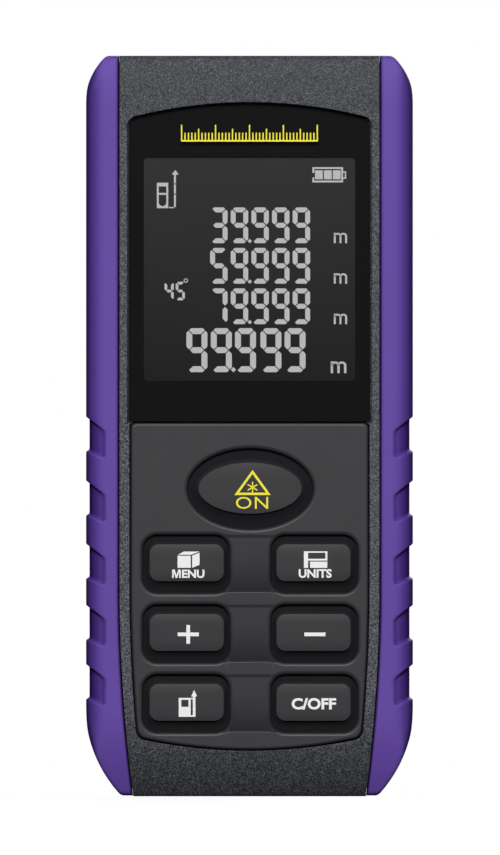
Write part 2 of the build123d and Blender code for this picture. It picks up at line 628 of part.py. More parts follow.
with BuildPart() as optics_bracket:
    add(block(BRACKET_HALF, BRACKET_FRONT, BRACKET_BACK, BRACKET_FOOT, BEZEL_UNDER - 0.1))
    fillet(optics_bracket.edges().filter_by(Axis.Z), 1.2)
    for side in (-1, 1):
        with Locations((side * (LUG_X - 0.9), LUG_Y - 0.75, LUG_Z)):
            Box(5.4, 1.5, 5.0)
    add(disc(LENS_SPOT, LENS_R, BEZEL_UNDER - 0.1 - LENS_THICK, BEZEL_UNDER), mode=Mode.SUBTRACT)
    with BuildSketch(Plane.XY.offset(BEZEL_UNDER - LENS_THICK - 0.1)):
        with Locations(LENS_SPOT):
            Circle(LENS_R - 0.6)
    with BuildSketch(Plane.XY.offset(BRACKET_FOOT)):
        with Locations(LENS_SPOT):
            Circle(1.6)
    loft(mode=Mode.SUBTRACT)
    add(disc(BARREL_SPOT, BARREL_R, BARREL_FOOT, BARREL_TOP), mode=Mode.SUBTRACT)
    add(disc(BARREL_SPOT, BARREL_BORE, BARREL_TOP, BEZEL_UNDER), mode=Mode.SUBTRACT)
    add(disc(BARREL_SPOT, BARREL_R - 0.6, BRACKET_FOOT, BARREL_FOOT), mode=Mode.SUBTRACT)
    lug_points = ((LUG_X, LUG_Z), (-LUG_X, LUG_Z))
    add(pins(lug_points, SMALL_SHANK_R + 0.15, LUG_Y - 1.5, LUG_Y), mode=Mode.SUBTRACT)
save(optics_bracket.part, "optics_bracket")

LENS_SEAT = BEZEL_UNDER - 0.1 - LENS_THICK
LENS_CROWN = 0.8
CROWN_R = (LENS_R**2 + LENS_CROWN**2) / (2 * LENS_CROWN)
with BuildPart() as receiver_lens:
    add(disc(LENS_SPOT, LENS_R, LENS_SEAT, LENS_SEAT + LENS_THICK))
    with Locations((LENS_X, OPTICS_Y, LENS_SEAT + LENS_THICK - CROWN_R)):
        Sphere(CROWN_R, mode=Mode.INTERSECT)
save(receiver_lens.part, "receiver_lens")

with BuildPart() as receiver_sensor:
    with Locations((LENS_X, OPTICS_Y, (SENSOR_FOOT + BRACKET_FOOT) / 2)):
        Box(SENSOR_SIDE, SENSOR_SIDE, BRACKET_FOOT - SENSOR_FOOT)
    fillet(receiver_sensor.edges().filter_by(Axis.Z), 0.4)
save(receiver_sensor.part, "receiver_sensor")

with BuildPart() as laser_barrel:
    add(disc(BARREL_SPOT, BARREL_R, BARREL_FOOT, BARREL_TOP))
    add(disc(BARREL_SPOT, BARREL_BORE, BARREL_FOOT, BARREL_TOP), mode=Mode.SUBTRACT)
    add(disc(BARREL_SPOT, COLLIMATOR_R, BARREL_TOP - 1.0 - COLLIMATOR_THICK, BARREL_TOP), mode=Mode.SUBTRACT)
    add(disc(BARREL_SPOT, COLLIMATOR_R + 0.2, BARREL_FOOT, BARREL_FOOT + 1.2), mode=Mode.SUBTRACT)
save(laser_barrel.part, "laser_barrel")

with BuildPart() as collimator_lens:
    add(disc(BARREL_SPOT, COLLIMATOR_R, BARREL_TOP - 1.0 - COLLIMATOR_THICK, BARREL_TOP - 1.0))
    fillet(collimator_lens.edges().sort_by(Axis.Z)[-1], 0.8)
save(collimator_lens.part, "collimator_lens")

with BuildPart() as laser_diode:
    add(disc(BARREL_SPOT, COLLIMATOR_R + 0.2, BARREL_FOOT, BARREL_FOOT + 1.2))
    add(disc(BARREL_SPOT, BARREL_BORE - 0.3, BARREL_FOOT + 1.2, BARREL_FOOT + 3.0))
    for pin_x in (-1.2, 0, 1.2):
        add(disc((BARREL_X + pin_x, OPTICS_Y), 0.22, BARREL_FOOT - 6.0, BARREL_FOOT))
save(laser_diode.part, "laser_diode")

# ---------------------------------------------------------------- batteries
CONTACT_LOW, CONTACT_HIGH = BAY_FOOT + PLATE_THICK, BAY_TOP - PLATE_THICK
NUB_R, NUB_TALL = 1.9, 1.0


def cell(cell_x, nub_up):
    """One AAA cell, its raised end up or down."""
    foot = CONTACT_HIGH - CELL_LENGTH if nub_up else CONTACT_LOW
    case_foot = foot if nub_up else foot + NUB_TALL
    nub_foot = foot + CELL_LENGTH - NUB_TALL if nub_up else foot
    with BuildPart() as battery:
        add(disc((cell_x, CELL_Y), CELL_R, case_foot, case_foot + CELL_LENGTH - NUB_TALL))
        fillet(battery.edges().filter_by(GeomType.CIRCLE), 0.5)
        add(disc((cell_x, CELL_Y), NUB_R, nub_foot, nub_foot + NUB_TALL))
    return battery.part


save(cell(-CELL_X, True), "battery_1")
save(cell(CELL_X, False), "battery_2")

with BuildPart() as battery_contacts:
    for plate_z in (BAY_FOOT + PLATE_THICK / 2, BAY_TOP - PLATE_THICK / 2):
        for plate_x in (-CELL_X, CELL_X):
            with Locations((plate_x, CELL_Y - 0.2, plate_z)):
                Box(9.4, 9.0, PLATE_THICK)
save(battery_contacts.part, "battery_contacts")

SPRING_TALL = CONTACT_HIGH - CONTACT_LOW - CELL_LENGTH
COIL_TALL = SPRING_TALL - 2 * WIRE_R
COIL_TURNS = 3.5


def spring(cell_x, foot):
    """Coil spring between a contact plate and the flat end of a cell."""
    with BuildPart() as coil_spring:
        with BuildLine() as coil:
            Helix(COIL_TALL / COIL_TURNS, COIL_TALL, SPRING_R, center=(cell_x, CELL_Y, foot + WIRE_R))
        with BuildSketch(Plane(origin=coil.line @ 0, z_dir=coil.line % 0)):
            Circle(WIRE_R)
        sweep()
    return coil_spring.part


with BuildPart() as battery_springs:
    add(spring(-CELL_X, CONTACT_LOW))
    add(spring(CELL_X, CONTACT_HIGH - SPRING_TALL))
save(battery_springs.part, "battery_springs")

# ---------------------------------------------------------------- battery cover
COVER_INNER = BACK - COVER_THICK
RIB_COUNT, RIB_STEP = 5, 2.2
with BuildPart() as battery_cover:
    with BuildSketch(front_plane(BACK)):
        with Locations((0, (COVER_FOOT + COVER_TOP) / 2)):
            RectangleRounded(2 * COVER_HALF, COVER_TOP - COVER_FOOT, 1.4)
    extrude(amount=COVER_THICK)
    for rib in range(RIB_COUNT):
        with Locations((0, BACK, COVER_TOP - 5.0 - rib * RIB_STEP)):
            Box(12.0, 0.7, 1.0, mode=Mode.SUBTRACT)
    with Locations(*[(x, COVER_INNER - 0.7, COVER_FOOT + 0.95) for x in TAB_SLOTS]):
        Box(TAB_W, 1.4, 1.9)
    with Locations(*[(x, COVER_INNER - 0.9, COVER_FOOT + 1.9 - TAB_REACH / 2) for x in TAB_SLOTS]):
        Box(TAB_W, 1.0, TAB_REACH)
    with Locations((0, COVER_INNER - 0.9, COVER_TOP - 1.1)):
        Box(LATCH_W, 1.8, 1.0)
    with Locations((0, COVER_INNER - 1.4, COVER_TOP - 0.6 + LATCH_NUB / 2)):
        Box(LATCH_W - 1.0, 0.7, LATCH_NUB)
save(battery_cover.part, "battery_cover")

with BuildPart() as cover_pad:
    add(block(8.0, CELL_Y + CELL_R, COVER_INNER, 24.0, 48.0))
save(cover_pad.part, "cover_pad")

with BuildPart() as rear_label:
    with BuildSketch(front_plane(BACK)):
        with Locations((0, LABEL_Z)):
            RectangleRounded(LABEL_W, LABEL_H, 1.85)
    extrude(amount=LABEL_THICK)
save(rear_label.part, "rear_label")

# ---------------------------------------------------------------- screws
case_set = screws(SCREW_POINTS, SCREW_SHANK_R, SCREW_HEAD_R, HEAD_THICK, SCREW_SEAT, SCREW_TIP, 1)
save(case_set, "case_screws")

POST_TIP, LUG_FACE = CAVITY_FRONT + 0.8, LUG_Y - 1.5
board_set = screws(BOARD_POSTS, SMALL_SHANK_R, SMALL_HEAD_R, SMALL_HEAD, BOARD_BACK, POST_TIP, 1)
save(board_set, "board_screws")

bracket_set = screws(lug_points, SMALL_SHANK_R, SMALL_HEAD_R, SMALL_HEAD, LUG_FACE, LUG_Y + 4.0, -1)
save(bracket_set, "bracket_screws")
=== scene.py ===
"""Pocket laser distance meter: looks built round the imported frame.  The helpers work in millimetres."""

import math

import bmesh
import bpy
import numpy as np
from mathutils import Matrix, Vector
from mathutils.geometry import delaunay_2d_cdt


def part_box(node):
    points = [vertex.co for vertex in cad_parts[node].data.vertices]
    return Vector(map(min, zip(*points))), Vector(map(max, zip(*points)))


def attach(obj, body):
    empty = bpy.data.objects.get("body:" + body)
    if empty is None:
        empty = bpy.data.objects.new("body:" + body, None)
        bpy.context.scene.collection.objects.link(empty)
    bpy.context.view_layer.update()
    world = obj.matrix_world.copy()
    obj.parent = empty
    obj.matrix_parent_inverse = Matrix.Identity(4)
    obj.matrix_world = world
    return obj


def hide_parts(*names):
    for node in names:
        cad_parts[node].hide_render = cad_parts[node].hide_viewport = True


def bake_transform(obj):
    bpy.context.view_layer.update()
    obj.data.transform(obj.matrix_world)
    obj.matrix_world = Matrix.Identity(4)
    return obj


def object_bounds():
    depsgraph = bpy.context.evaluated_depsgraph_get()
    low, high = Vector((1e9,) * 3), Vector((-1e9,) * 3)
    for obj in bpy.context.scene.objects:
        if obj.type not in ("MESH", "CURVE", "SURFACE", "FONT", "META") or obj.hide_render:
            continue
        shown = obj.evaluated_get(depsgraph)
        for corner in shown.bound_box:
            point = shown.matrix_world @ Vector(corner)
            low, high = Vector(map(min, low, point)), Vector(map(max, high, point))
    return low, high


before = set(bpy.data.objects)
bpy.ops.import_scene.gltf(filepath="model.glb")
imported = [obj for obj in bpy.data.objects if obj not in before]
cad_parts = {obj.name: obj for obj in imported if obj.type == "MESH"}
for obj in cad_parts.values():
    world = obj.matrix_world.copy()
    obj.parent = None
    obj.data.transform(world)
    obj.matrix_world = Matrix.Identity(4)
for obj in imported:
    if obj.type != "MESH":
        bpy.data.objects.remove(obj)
cad_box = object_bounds()
MM = 0.001
SCENE = bpy.context.scene


def node_box(node):
    """Lowest and highest corners of a CAD node, in millimetres."""
    low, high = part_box(node)
    return np.array(low) / MM, np.array(high) / MM


# ---- sizes read from the frame
LOW, HIGH = (np.array(corner) / MM for corner in cad_box)
LENGTH = HIGH[2] - LOW[2]
HALF = (HIGH[0] - LOW[0]) / 2
FRONT, BACK = LOW[1], HIGH[1]
WINDOW_FACE = node_box("display_window")[0][1]

# ---- sizes shared with the CAD model
TOP_Z, TOP_R = LENGTH - 7.5, 10.2  # shoulder arcs of the outline, at the optics end and at the base
FOOT_Z, FOOT_R = 14.0, 20.3
SEAM_X, SEAM_Z, SEAM_R = 19.75, 32.0, 244.0  # seam between grips and casing, drawn in below SEAM_Z
KEYPAD_INSET = 1.7  # casing strip between the seam and the keypad
VIEW_W, VIEW_H, VIEW_Z = 32.1, 33.9, 80.05  # visible area of the display, and the height of its middle

KEYS = ["measure", "menu", "units", "plus", "minus", "reference", "clear"]
CRISP_ANGLE = math.radians(50)


# ---- mesh helpers
def new_object(name, verts, faces, material, body="meter", smooth=True):
    """Object from millimetre vertices, riding on a body."""
    mesh = bpy.data.meshes.new(name)
    mesh.from_pydata([tuple(np.asarray(v) * MM) for v in verts], [], [tuple(f) for f in faces])
    mesh.validate()
    mesh.materials.append(material)
    mesh.polygons.foreach_set("use_smooth", [smooth] * len(mesh.polygons))
    mesh.update()
    obj = bpy.data.objects.new(name, mesh)
    SCENE.collection.objects.link(obj)
    if body:
        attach(obj, body)
    return obj


def mend(obj, merge=False, crisp=False):
    """Outward normals.  merge joins points that meet; crisp drops unused points and keeps walls sharp."""
    bm = bmesh.new()
    bm.from_mesh(obj.data)
    if merge:
        bmesh.ops.remove_doubles(bm, verts=bm.verts, dist=1e-6)
    if crisp:
        bmesh.ops.delete(bm, geom=[v for v in bm.verts if not v.link_faces], context="VERTS")
    bmesh.ops.recalc_face_normals(bm, faces=bm.faces)
    for edge in bm.edges:
        if crisp and len(edge.link_faces) == 2 and edge.calc_face_angle(0) > CRISP_ANGLE:
            edge.smooth = False
    bm.to_mesh(obj.data)
    bm.free()
    obj.data.update()


# ---- node material helpers
def material(name):
    """New node material: itself, its node tree, its main shader and its coordinates in millimetres."""
    mat = bpy.data.materials.new(name)
    mat.use_nodes = True
    tree = mat.node_tree
    return mat, tree, tree.nodes["Principled BSDF"], coords(tree)


def add(tree, kind, inputs=None, **settings):
    node = tree.nodes.new(kind)
    for key, value in settings.items():
        setattr(node, key, value)
    for key, value in (inputs or {}).items():
        if isinstance(value, bpy.types.NodeSocket):
            tree.links.new(value, node.inputs[key])
        else:
            node.inputs[key].default_value = value
    return node


def coords(tree):
    """Object coordinates in millimetres."""
    source = add(tree, "ShaderNodeTexCoord").outputs["Object"]
    return add(tree, "ShaderNodeMapping", {"Vector": source, "Scale": (1 / MM,) * 3}).outputs[0]


def noise(tree, vector, scale, detail, rough=0.5):
    inputs = {"Vector": vector, "Scale": scale, "Detail": detail, "Roughness": rough}
    return add(tree, "ShaderNodeTexNoise", inputs).outputs["Fac"]


def spread(tree, value, low, high, start=0.0, stop=1.0):
    """Value remapped from start..stop to low..high."""
    inputs = {"Value": value, "From Min": start, "From Max": stop, "To Min": low, "To Max": high}
    return add(tree, "ShaderNodeMapRange", inputs).outputs[0]


def blend_colour(tree, factor, first, second):
    return add(tree, "ShaderNodeMix", {0: factor, 6: first, 7: second}, data_type="RGBA").outputs[2]


def tone(colour, share):
    """Colour made darker or lighter by a share, no channel over 1."""
    return [min(c * share, 1) for c in colour[:3]] + [1]


def shaded(tree, colour, value, saturation=1.0):
    inputs = {"Value": value, "Saturation": saturation, "Color": colour}
    return add(tree, "ShaderNodeHueSaturation", inputs).outputs[0]


def rgb(r, g, b):
    """Linear colour from 0-255 display values."""
    out = []
    for c in (r, g, b):
        c /= 255
        out.append(c / 12.92 if c <= 0.04045 else ((c + 0.055) / 1.055) ** 2.4)
    return (*out, 1.0)


def bump(tree, height, strength, distance_mm, normal=None):
    inputs = {"Height": height, "Strength": strength, "Distance": distance_mm * MM}
    if normal is not None:
        inputs["Normal"] = normal
    return add(tree, "ShaderNodeBump", inputs).outputs[0]


def crease(tree, colour, dark, reach_mm, low, high):
    """Painted shade: colour darkened by dark in grooves and corners, found by an ambient occlusion mask."""
    open_sky = add(tree, "ShaderNodeAmbientOcclusion", {"Distance": reach_mm * MM}, samples=8).outputs["AO"]
    share = spread(tree, open_sky, 1.0, 0.0, low, high)
    return blend_colour(tree, share, colour, shaded(tree, colour, dark))


def edge_normal(tree, radius_mm):
    return add(tree, "ShaderNodeBevel", {"Radius": radius_mm * MM}, samples=6).outputs[0]


def convex_edge_mask(tree, amount):
    """Mask of convex edges."""
    point = add(tree, "ShaderNodeNewGeometry").outputs["Pointiness"]
    return spread(tree, point, 0.0, amount, 0.52, 0.62)


def finish(tree, shader, **sockets):
    """Links or sets the shader's sockets, named with underscores for spaces."""
    for key, value in sockets.items():
        key = key.replace("_", " ")
        if isinstance(value, bpy.types.NodeSocket):
            tree.links.new(value, shader.inputs[key])
        else:
            shader.inputs[key].default_value = value


# ---- materials
def rubber_grip():
    """Violet soft rubber with painted shade: darker in its recesses, in grooves and where it turns away from
    the camera.
    """
    mat, tree, shader, at = material("grip_rubber")
    cloud = noise(tree, at, 0.05, 3.0)
    fine = noise(tree, at, 4.0, 3.0)
    violet = blend_colour(tree, cloud, rgb(102, 73, 167), rgb(110, 80, 177))
    # the violet is made lighter on convex edges
    lighter_edges = blend_colour(tree, convex_edge_mask(tree, 0.2), violet, rgb(126, 101, 182))
    # painted shade: the recess attribute darkens the violet on the floors of the finger recesses
    recess = add(tree, "ShaderNodeAttribute", attribute_name="recess").outputs["Fac"]
    painted_shade_violet = blend_colour(tree, recess, lighter_edges, shaded(tree, lighter_edges, 0.74, 1.04))
    # painted shade: darker violet in grooves and corners
    painted_shade_violet = crease(tree, painted_shade_violet, 0.5, 1.0, 0.5, 0.97)
    # painted shade: the violet darkens where the surface turns away from the camera, standing in for its
    # shaded sides
    turned = add(tree, "ShaderNodeLayerWeight", {"Blend": 0.42}).outputs["Facing"]
    painted_shade_violet = blend_colour(tree, spread(tree, turned, 0.0, 1.0, 0.15, 0.9), painted_shade_violet, shaded(tree, painted_shade_violet, 0.72, 1.12))
    rough = spread(tree, fine, 0.50, 0.64)
    normal = bump(tree, fine, 0.15, 0.03)
    finish(tree, shader, Base_Color=painted_shade_violet, Roughness=rough, Normal=normal, Specular_IOR_Level=0.2)
    return mat


def spark_casing(name, shade, sparkle=1.0):
    """Eroded plastic: pale specks of uneven brightness, a fine pitted bump and painted shade darkening both
    ends.
    """
    mat, tree, shader, at = material(name)
    fine = noise(tree, at, 3.2, 4.0, 0.65)
    colour = blend_colour(tree, spread(tree, fine, 0, 1, 0.38, 0.62), tone(shade, 0.25), tone(shade, 1.6))
    for scale, bright in ((5.2, 1.0), (8.2, 0.9)):
        cell = add(tree, "ShaderNodeTexVoronoi", {"Vector": at, "Scale": scale, "Randomness": 1.0})
        pick = add(tree, "ShaderNodeSeparateColor", {"Color": cell.outputs["Color"]}).outputs[0]
        chosen = spread(tree, pick, 0.0, sparkle * bright, 0.4, 1.0)
        dot = spread(tree, cell.outputs["Distance"], 1.0, 0.0, 0.15, 0.5)
        share = add(tree, "ShaderNodeMath", {0: chosen, 1: dot}, operation="MULTIPLY").outputs[0]
        colour = blend_colour(tree, share, colour, rgb(176, 179, 184))
    z = add(tree, "ShaderNodeSeparateXYZ", {"Vector": at}).outputs["Z"]
    # painted shade: the base end and the optics end are darkened, standing in for light falling off there
    for inner, outer, dark in ((16.0, 1.0, 0.55), (LENGTH - 12.0, LENGTH - 5.0, 0.62)):
        share = spread(tree, z, 0.0, 1.0, inner, outer)
        colour = blend_colour(tree, share, colour, shaded(tree, colour, dark))
    # painted shade: darker casing in grooves and corners
    colour = crease(tree, colour, 0.5, 0.8, 0.4, 0.9)
    rough = spread(tree, fine, 0.42, 0.66)
    normal = bump(tree, fine, 0.55, 0.05, edge_normal(tree, 0.22))
    finish(tree, shader, Base_Color=colour, Roughness=rough, Normal=normal, Specular_IOR_Level=0.22)
    return mat


def satin_rubber(name, shade):
    """Keypad rubber: duller down in the moats, with painted shade darkening it there."""
    mat, tree, shader, at = material(name)
    cloud = noise(tree, at, 0.12, 2.0)
    fine = noise(tree, at, 6.0, 3.0)
    colour = blend_colour(tree, cloud, tone(shade, 0.9), tone(shade, 1.1))
    y = add(tree, "ShaderNodeSeparateXYZ", {"Vector": at}).outputs["Y"]
    # painted shade: the rubber darkens with depth into the moats
    depth = spread(tree, y, 0.0, 1.0, FRONT + 0.42, FRONT + 0.95)
    colour = blend_colour(tree, depth, colour, shaded(tree, colour, 0.55))
    sheen = spread(tree, y, 0.3, 0.0, FRONT + 0.35, FRONT + 0.8)
    rough = spread(tree, fine, 0.38, 0.46)
    normal = bump(tree, fine, 0.12, 0.02)
    finish(tree, shader, Base_Color=colour, Roughness=rough, Normal=normal, Specular_IOR_Level=sheen)
    return mat


def tinted_pane(name, tint, alpha):
    """Thin hard-coated pane: mostly clear, faintly smeared."""
    mat, tree, shader, at = material(name)
    smear = noise(tree, at, 0.25, 4.0, 0.6)
    colour = blend_colour(tree, smear, tone(tint, 0.8), tint)
    finish(tree, shader, Base_Color=colour, Roughness=spread(tree, smear, 0.03, 0.09, 0.4, 0.8), Alpha=alpha)
    finish(tree, shader, Normal=bump(tree, smear, 0.02, 0.01, true_normal(tree)))
    return mat


def clear_pane(name, tint):
    """Clear hard-coated pane that lets lamps through."""
    mat, tree, shader, at = material(name)
    smear = noise(tree, at, 0.25, 4.0, 0.6)
    finish(tree, shader, Base_Color=tint, Roughness=spread(tree, smear, 0.02, 0.07, 0.4, 0.8))
    finish(tree, shader, Transmission_Weight=1.0, IOR=1.1)
    clear = add(tree, "ShaderNodeBsdfTransparent", {"Color": tint})
    path = add(tree, "ShaderNodeLightPath")
    parts = {0: path.outputs["Is Shadow Ray"], 1: shader.outputs[0], 2: clear.outputs[0]}
    mix = add(tree, "ShaderNodeMixShader", parts)
    tree.links.new(mix.outputs[0], tree.nodes["Material Output"].inputs["Surface"])
    return mat


def true_normal(tree):
    """The face's own normal, for flat panes."""
    return add(tree, "ShaderNodeNewGeometry").outputs["True Normal"]


def plain(name, shade, rough, metallic=0.0, grain=3.0, vary=0.12, edge=None, coat=0.0):
    """Base for small parts: clouded colour, grain in roughness and bump, edges rounded if given a radius."""
    mat, tree, shader, at = material(name)
    cloud = noise(tree, at, 0.3, 3.0)
    fine = noise(tree, at, grain, 3.0)
    colour = blend_colour(tree, cloud, tone(shade, 1 - vary), tone(shade, 1 + vary))
    normal = bump(tree, fine, 0.2, 0.02, edge_normal(tree, edge) if edge else None)
    rough = spread(tree, fine, rough * 0.85, rough * 1.15)
    finish(tree, shader, Base_Color=colour, Roughness=rough, Normal=normal)
    finish(tree, shader, Metallic=metallic, Coat_Weight=coat)
    return mat


def flat_ink(name, shade):
    """Matt print on a flat pane."""
    mat, tree, shader, at = material(name)
    colour = blend_colour(tree, noise(tree, at, 0.3, 3.0), tone(shade, 0.85), shade)
    fine = noise(tree, at, 6.0, 3.0)
    normal = bump(tree, fine, 0.05, 0.01, true_normal(tree))
    rough = spread(tree, fine, 0.45, 0.6)
    finish(tree, shader, Base_Color=colour, Roughness=rough, Normal=normal, Specular_IOR_Level=0.1)
    return mat


def display_glass():
    """Dark display: paler towards its top edge as a painted reflection of light from above, with a faint
    pixel weave.
    """
    mat, tree, shader, at = material("lcd_glass")
    height = add(tree, "ShaderNodeSeparateXYZ", {"Vector": at}).outputs["Z"]
    # painted reflection: the display's colour runs paler towards its top
    ramp = spread(tree, height, 0.0, 1.0, VIEW_Z - VIEW_H / 2, VIEW_Z + VIEW_H / 2)
    colour = blend_colour(tree, ramp, rgb(26, 26, 28), rgb(59, 59, 60))
    cloud = noise(tree, at, 0.08, 2.0)
    colour = blend_colour(tree, spread(tree, cloud, 0.0, 0.25), colour, rgb(40, 38, 44))
    fine = noise(tree, at, 8.0, 2.0)
    normal = bump(tree, fine, 0.05, 0.01, true_normal(tree))
    rough = spread(tree, fine, 0.5, 0.6)
    finish(tree, shader, Base_Color=colour, Roughness=rough, Normal=normal, Specular_IOR_Level=0.15)
    return mat


def ink(name, shade, rough, painted_glow):
    """Opaque print or film with a faint painted glow that brightens it."""
    mat, tree, shader, at = material(name)
    fine = noise(tree, at, 5.0, 3.0)
    colour = blend_colour(tree, fine, tone(shade, 0.93), shade)
    finish(tree, shader, Base_Color=colour, Roughness=spread(tree, fine, rough * 0.9, rough * 1.2))
    # painted glow: emission that brightens the print though it gives off no light
    finish(tree, shader, Normal=bump(tree, fine, 0.1, 0.01), Emission_Color=shade, Emission_Strength=painted_glow)
    return mat


MATS = {
    "grip": rubber_grip(),
    "casing": spark_casing("casing_spark", rgb(66, 69, 76)),
    "rear": spark_casing("rear_spark", rgb(62, 64, 68), 0.7),
    "keypad": satin_rubber("keypad_silicone", rgb(53, 52, 55)),
    "key": satin_rubber("key_silicone", rgb(50, 49, 52)),
    "window": tinted_pane("window_pane", rgb(20, 20, 22), 0.08),
    "border": flat_ink("border_ink", rgb(9, 8, 11)),
    "lcd": display_glass(),
    "segment": ink("segment_film", rgb(222, 222, 221), 0.6, 0.08),
    "white_ink": ink("legend_white", rgb(250, 250, 252), 0.5, 0.1),
    "yellow_ink": ink("legend_yellow", rgb(252, 238, 44), 0.5, 0.1),
}

NODE_MATS = {
    "front_shell": MATS["casing"],
    "rear_shell": MATS["rear"],
    "battery_cover": MATS["rear"],
    "display_window": MATS["window"],
    "window_border": MATS["border"],
    "lcd_panel": MATS["lcd"],
    "window_tape": plain("tape_foam", rgb(26, 26, 27), 0.9),
    "case_seal": plain("seal_cord", rgb(30, 30, 31), 0.7),
    "lcd_backlight": plain("light_guide", rgb(225, 226, 228), 0.35),
    "lcd_flex": plain("flex_film", rgb(172, 112, 48), 0.35),
    "contact_pads": plain("gold_pads", rgb(224, 186, 108), 0.3, 1.0),
    "main_board": plain("board_mask", rgb(22, 74, 46), 0.35, coat=0.3),
    "board_chips": plain("chip_resin", rgb(28, 28, 30), 0.6),
    "buzzer": plain("buzzer_case", rgb(24, 24, 25), 0.4),
    "optics_bracket": plain("bracket_plastic", rgb(30, 30, 31), 0.6),
    "optics_bezel": plain("bezel_gloss", rgb(24, 24, 26), 0.22, edge=0.2),
    "receiver_lens": clear_pane("lens_glass", (0.82, 0.72, 0.86, 1)),
    "collimator_lens": clear_pane("collimator_glass", (0.9, 0.85, 0.9, 1)),
    "emitter_window": clear_pane("emitter_glass", (0.95, 0.8, 0.8, 1)),
    "receiver_sensor": plain("sensor_can", rgb(176, 178, 180), 0.3, 1.0),
    "laser_barrel": plain("barrel_brass", rgb(196, 164, 96), 0.28, 1.0),
    "laser_diode": plain("diode_can", rgb(190, 180, 150), 0.3, 1.0),
    "battery_1": plain("cell_jacket", rgb(70, 76, 84), 0.35, 0.6),
    "battery_2": plain("cell_jacket_b", rgb(70, 76, 84), 0.35, 0.6),
    "battery_springs": plain("spring_nickel", rgb(190, 190, 192), 0.25, 1.0),
    "battery_contacts": plain("contact_nickel", rgb(186, 186, 188), 0.3, 1.0),
    "cover_pad": plain("foam_pad", rgb(58, 58, 60), 0.95, grain=1.5),
    "rear_label": plain("label_film", rgb(176, 176, 180), 0.5, grain=2.0, vary=0.05),
    "case_screws": plain("screw_black", rgb(88, 88, 90), 0.35, 1.0, edge=0.1),
    "board_screws": plain("screw_small", rgb(150, 150, 152), 0.3, 1.0),
    "bracket_screws": plain("screw_bracket", rgb(150, 150, 152), 0.3, 1.0),
}
for node, mat in NODE_MATS.items():
    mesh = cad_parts[node].data
    mesh.materials.clear()
    mesh.materials.append(mat)

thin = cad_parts["display_window"].modifiers.new("clearance", "DISPLACE")
thin.strength = -0.01 * MM  # keeps the pane's faces clear of the print and tape touching it
thin.mid_level = 0.0


# ---- outline curves of the body
def half_width(z):
    """Half of the body's front-view width at height z."""
    z = np.asarray(z, float)
    top = HALF - TOP_R + np.sqrt(np.clip(TOP_R**2 - np.clip(z - TOP_Z, 0, None) ** 2, 0, None))
    foot = HALF - FOOT_R + np.sqrt(np.clip(FOOT_R**2 - np.clip(FOOT_Z - z, 0, None) ** 2, 0, None))
    return np.minimum(top, foot)


def seam_x(z):
    """Front-view x of the right seam at height z."""
    return SEAM_X - np.clip(SEAM_Z - np.asarray(z, float), 0, None) ** 2 / (2 * SEAM_R)


def through(p, q, r):
    """Centre and radius of the circle through three points."""
    (ax, ay), (bx, by), (cx, cy) = p, q, r
    d = 2 * (ax * (by - cy) + bx * (cy - ay) + cx * (ay - by))
    ux = ((ax**2 + ay**2) * (by - cy) + (bx**2 + by**2) * (cy - ay) + (cx**2 + cy**2) * (ay - by)) / d
    uy = ((ax**2 + ay**2) * (cx - bx) + (bx**2 + by**2) * (ax - cx) + (cx**2 + cy**2) * (bx - ax)) / d
    return ux, uy, math.hypot(ax - ux, ay - uy)


def arc_y(z, circle, sign):
    """y on the circle at height z, on the side given by sign."""
    cy, cz, r = circle
    return cy + sign * np.sqrt(np.clip(r**2 - (z - cz) ** 2, 0, None))


FACE_Z, BROW_TALL, HEEL_TALL = LENGTH - 9.0, 0.9, 4.0
FOOT_ARC = through((FRONT, FOOT_Z), (FRONT + 0.75, 6.4), (FRONT + 3.0, 0.0))
FACE_ARC = through((FRONT + 0.7, LENGTH - BROW_TALL), (FRONT + 0.2, LENGTH - 4.2), (FRONT, FACE_Z))


def front_y(z):
    """Front face: curved back at the base and towards the optics end, then rounded over."""
    z = np.asarray(z, float)
    y = np.where(z < FOOT_Z, arc_y(z, FOOT_ARC, -1), FRONT)
    y = np.where(z > FACE_Z, arc_y(z, FACE_ARC, -1), y)
    brow = np.clip((z - (LENGTH - BROW_TALL)) / BROW_TALL, 0, 1)
    return np.maximum(y, FRONT) + 0.8 * brow**2.5


def back_y(z):
    """Back face, drawn in at both ends."""
    z = np.asarray(z, float)
    heel = np.clip((HEEL_TALL - z) / HEEL_TALL, 0, 1)
    neck = np.clip((z - (LENGTH - HEEL_TALL)) / HEEL_TALL, 0, 1)
    return BACK - 2.0 * (heel**2.5 + neck**2.5)


# ---- grips
CORNER_A, CORNER_B, CORNER_N = 3.4, 5.2, 2.0
RECESS_CENTRES = (55.1, 45.4, 35.8, 26.5, 17.5)
RECESS_DEPTH, RECESS_WALL, RECESS_EDGE_X = 0.52, 0.42, 21.9
RECESS_HALF, TOP_SLANT, LOW_SLANT = 2.72, 0.75, 0.40
GRIP_CORE_X, GRIP_COLUMNS, GRIP_THICK = 14.0, 97, 1.5
END_ROUND, SEAM_ROUND, SEAM_GROW = 0.4, 0.5, 0.15


def smooth_max(a, b, k):
    """Larger of a and b, blended where they differ by less than k."""
    h = np.clip(1 - np.abs(a - b) / k, 0, None)
    return np.maximum(a, b) + h * h * k / 4


def body_field(x, y, z, end_inset):
    """Signed distance, near enough, to the outside of the grips' cross-section at height z."""
    u = np.clip(x - (HALF - CORNER_A), 0, None) / CORNER_A
    v = np.clip(np.abs(y) - (BACK - CORNER_B), 0, None) / CORNER_B
    corner = ((u**CORNER_N + v**CORNER_N) ** (1 / CORNER_N) - 1) * CORNER_B
    corner = np.where((u <= 0) & (v <= 0), -CORNER_B, corner)
    field = smooth_max(corner, x - half_width(z), 0.9)
    field = smooth_max(field, front_y(z) - y, 0.5)
    field = smooth_max(field, y - back_y(z), 0.5)
    return field + end_inset


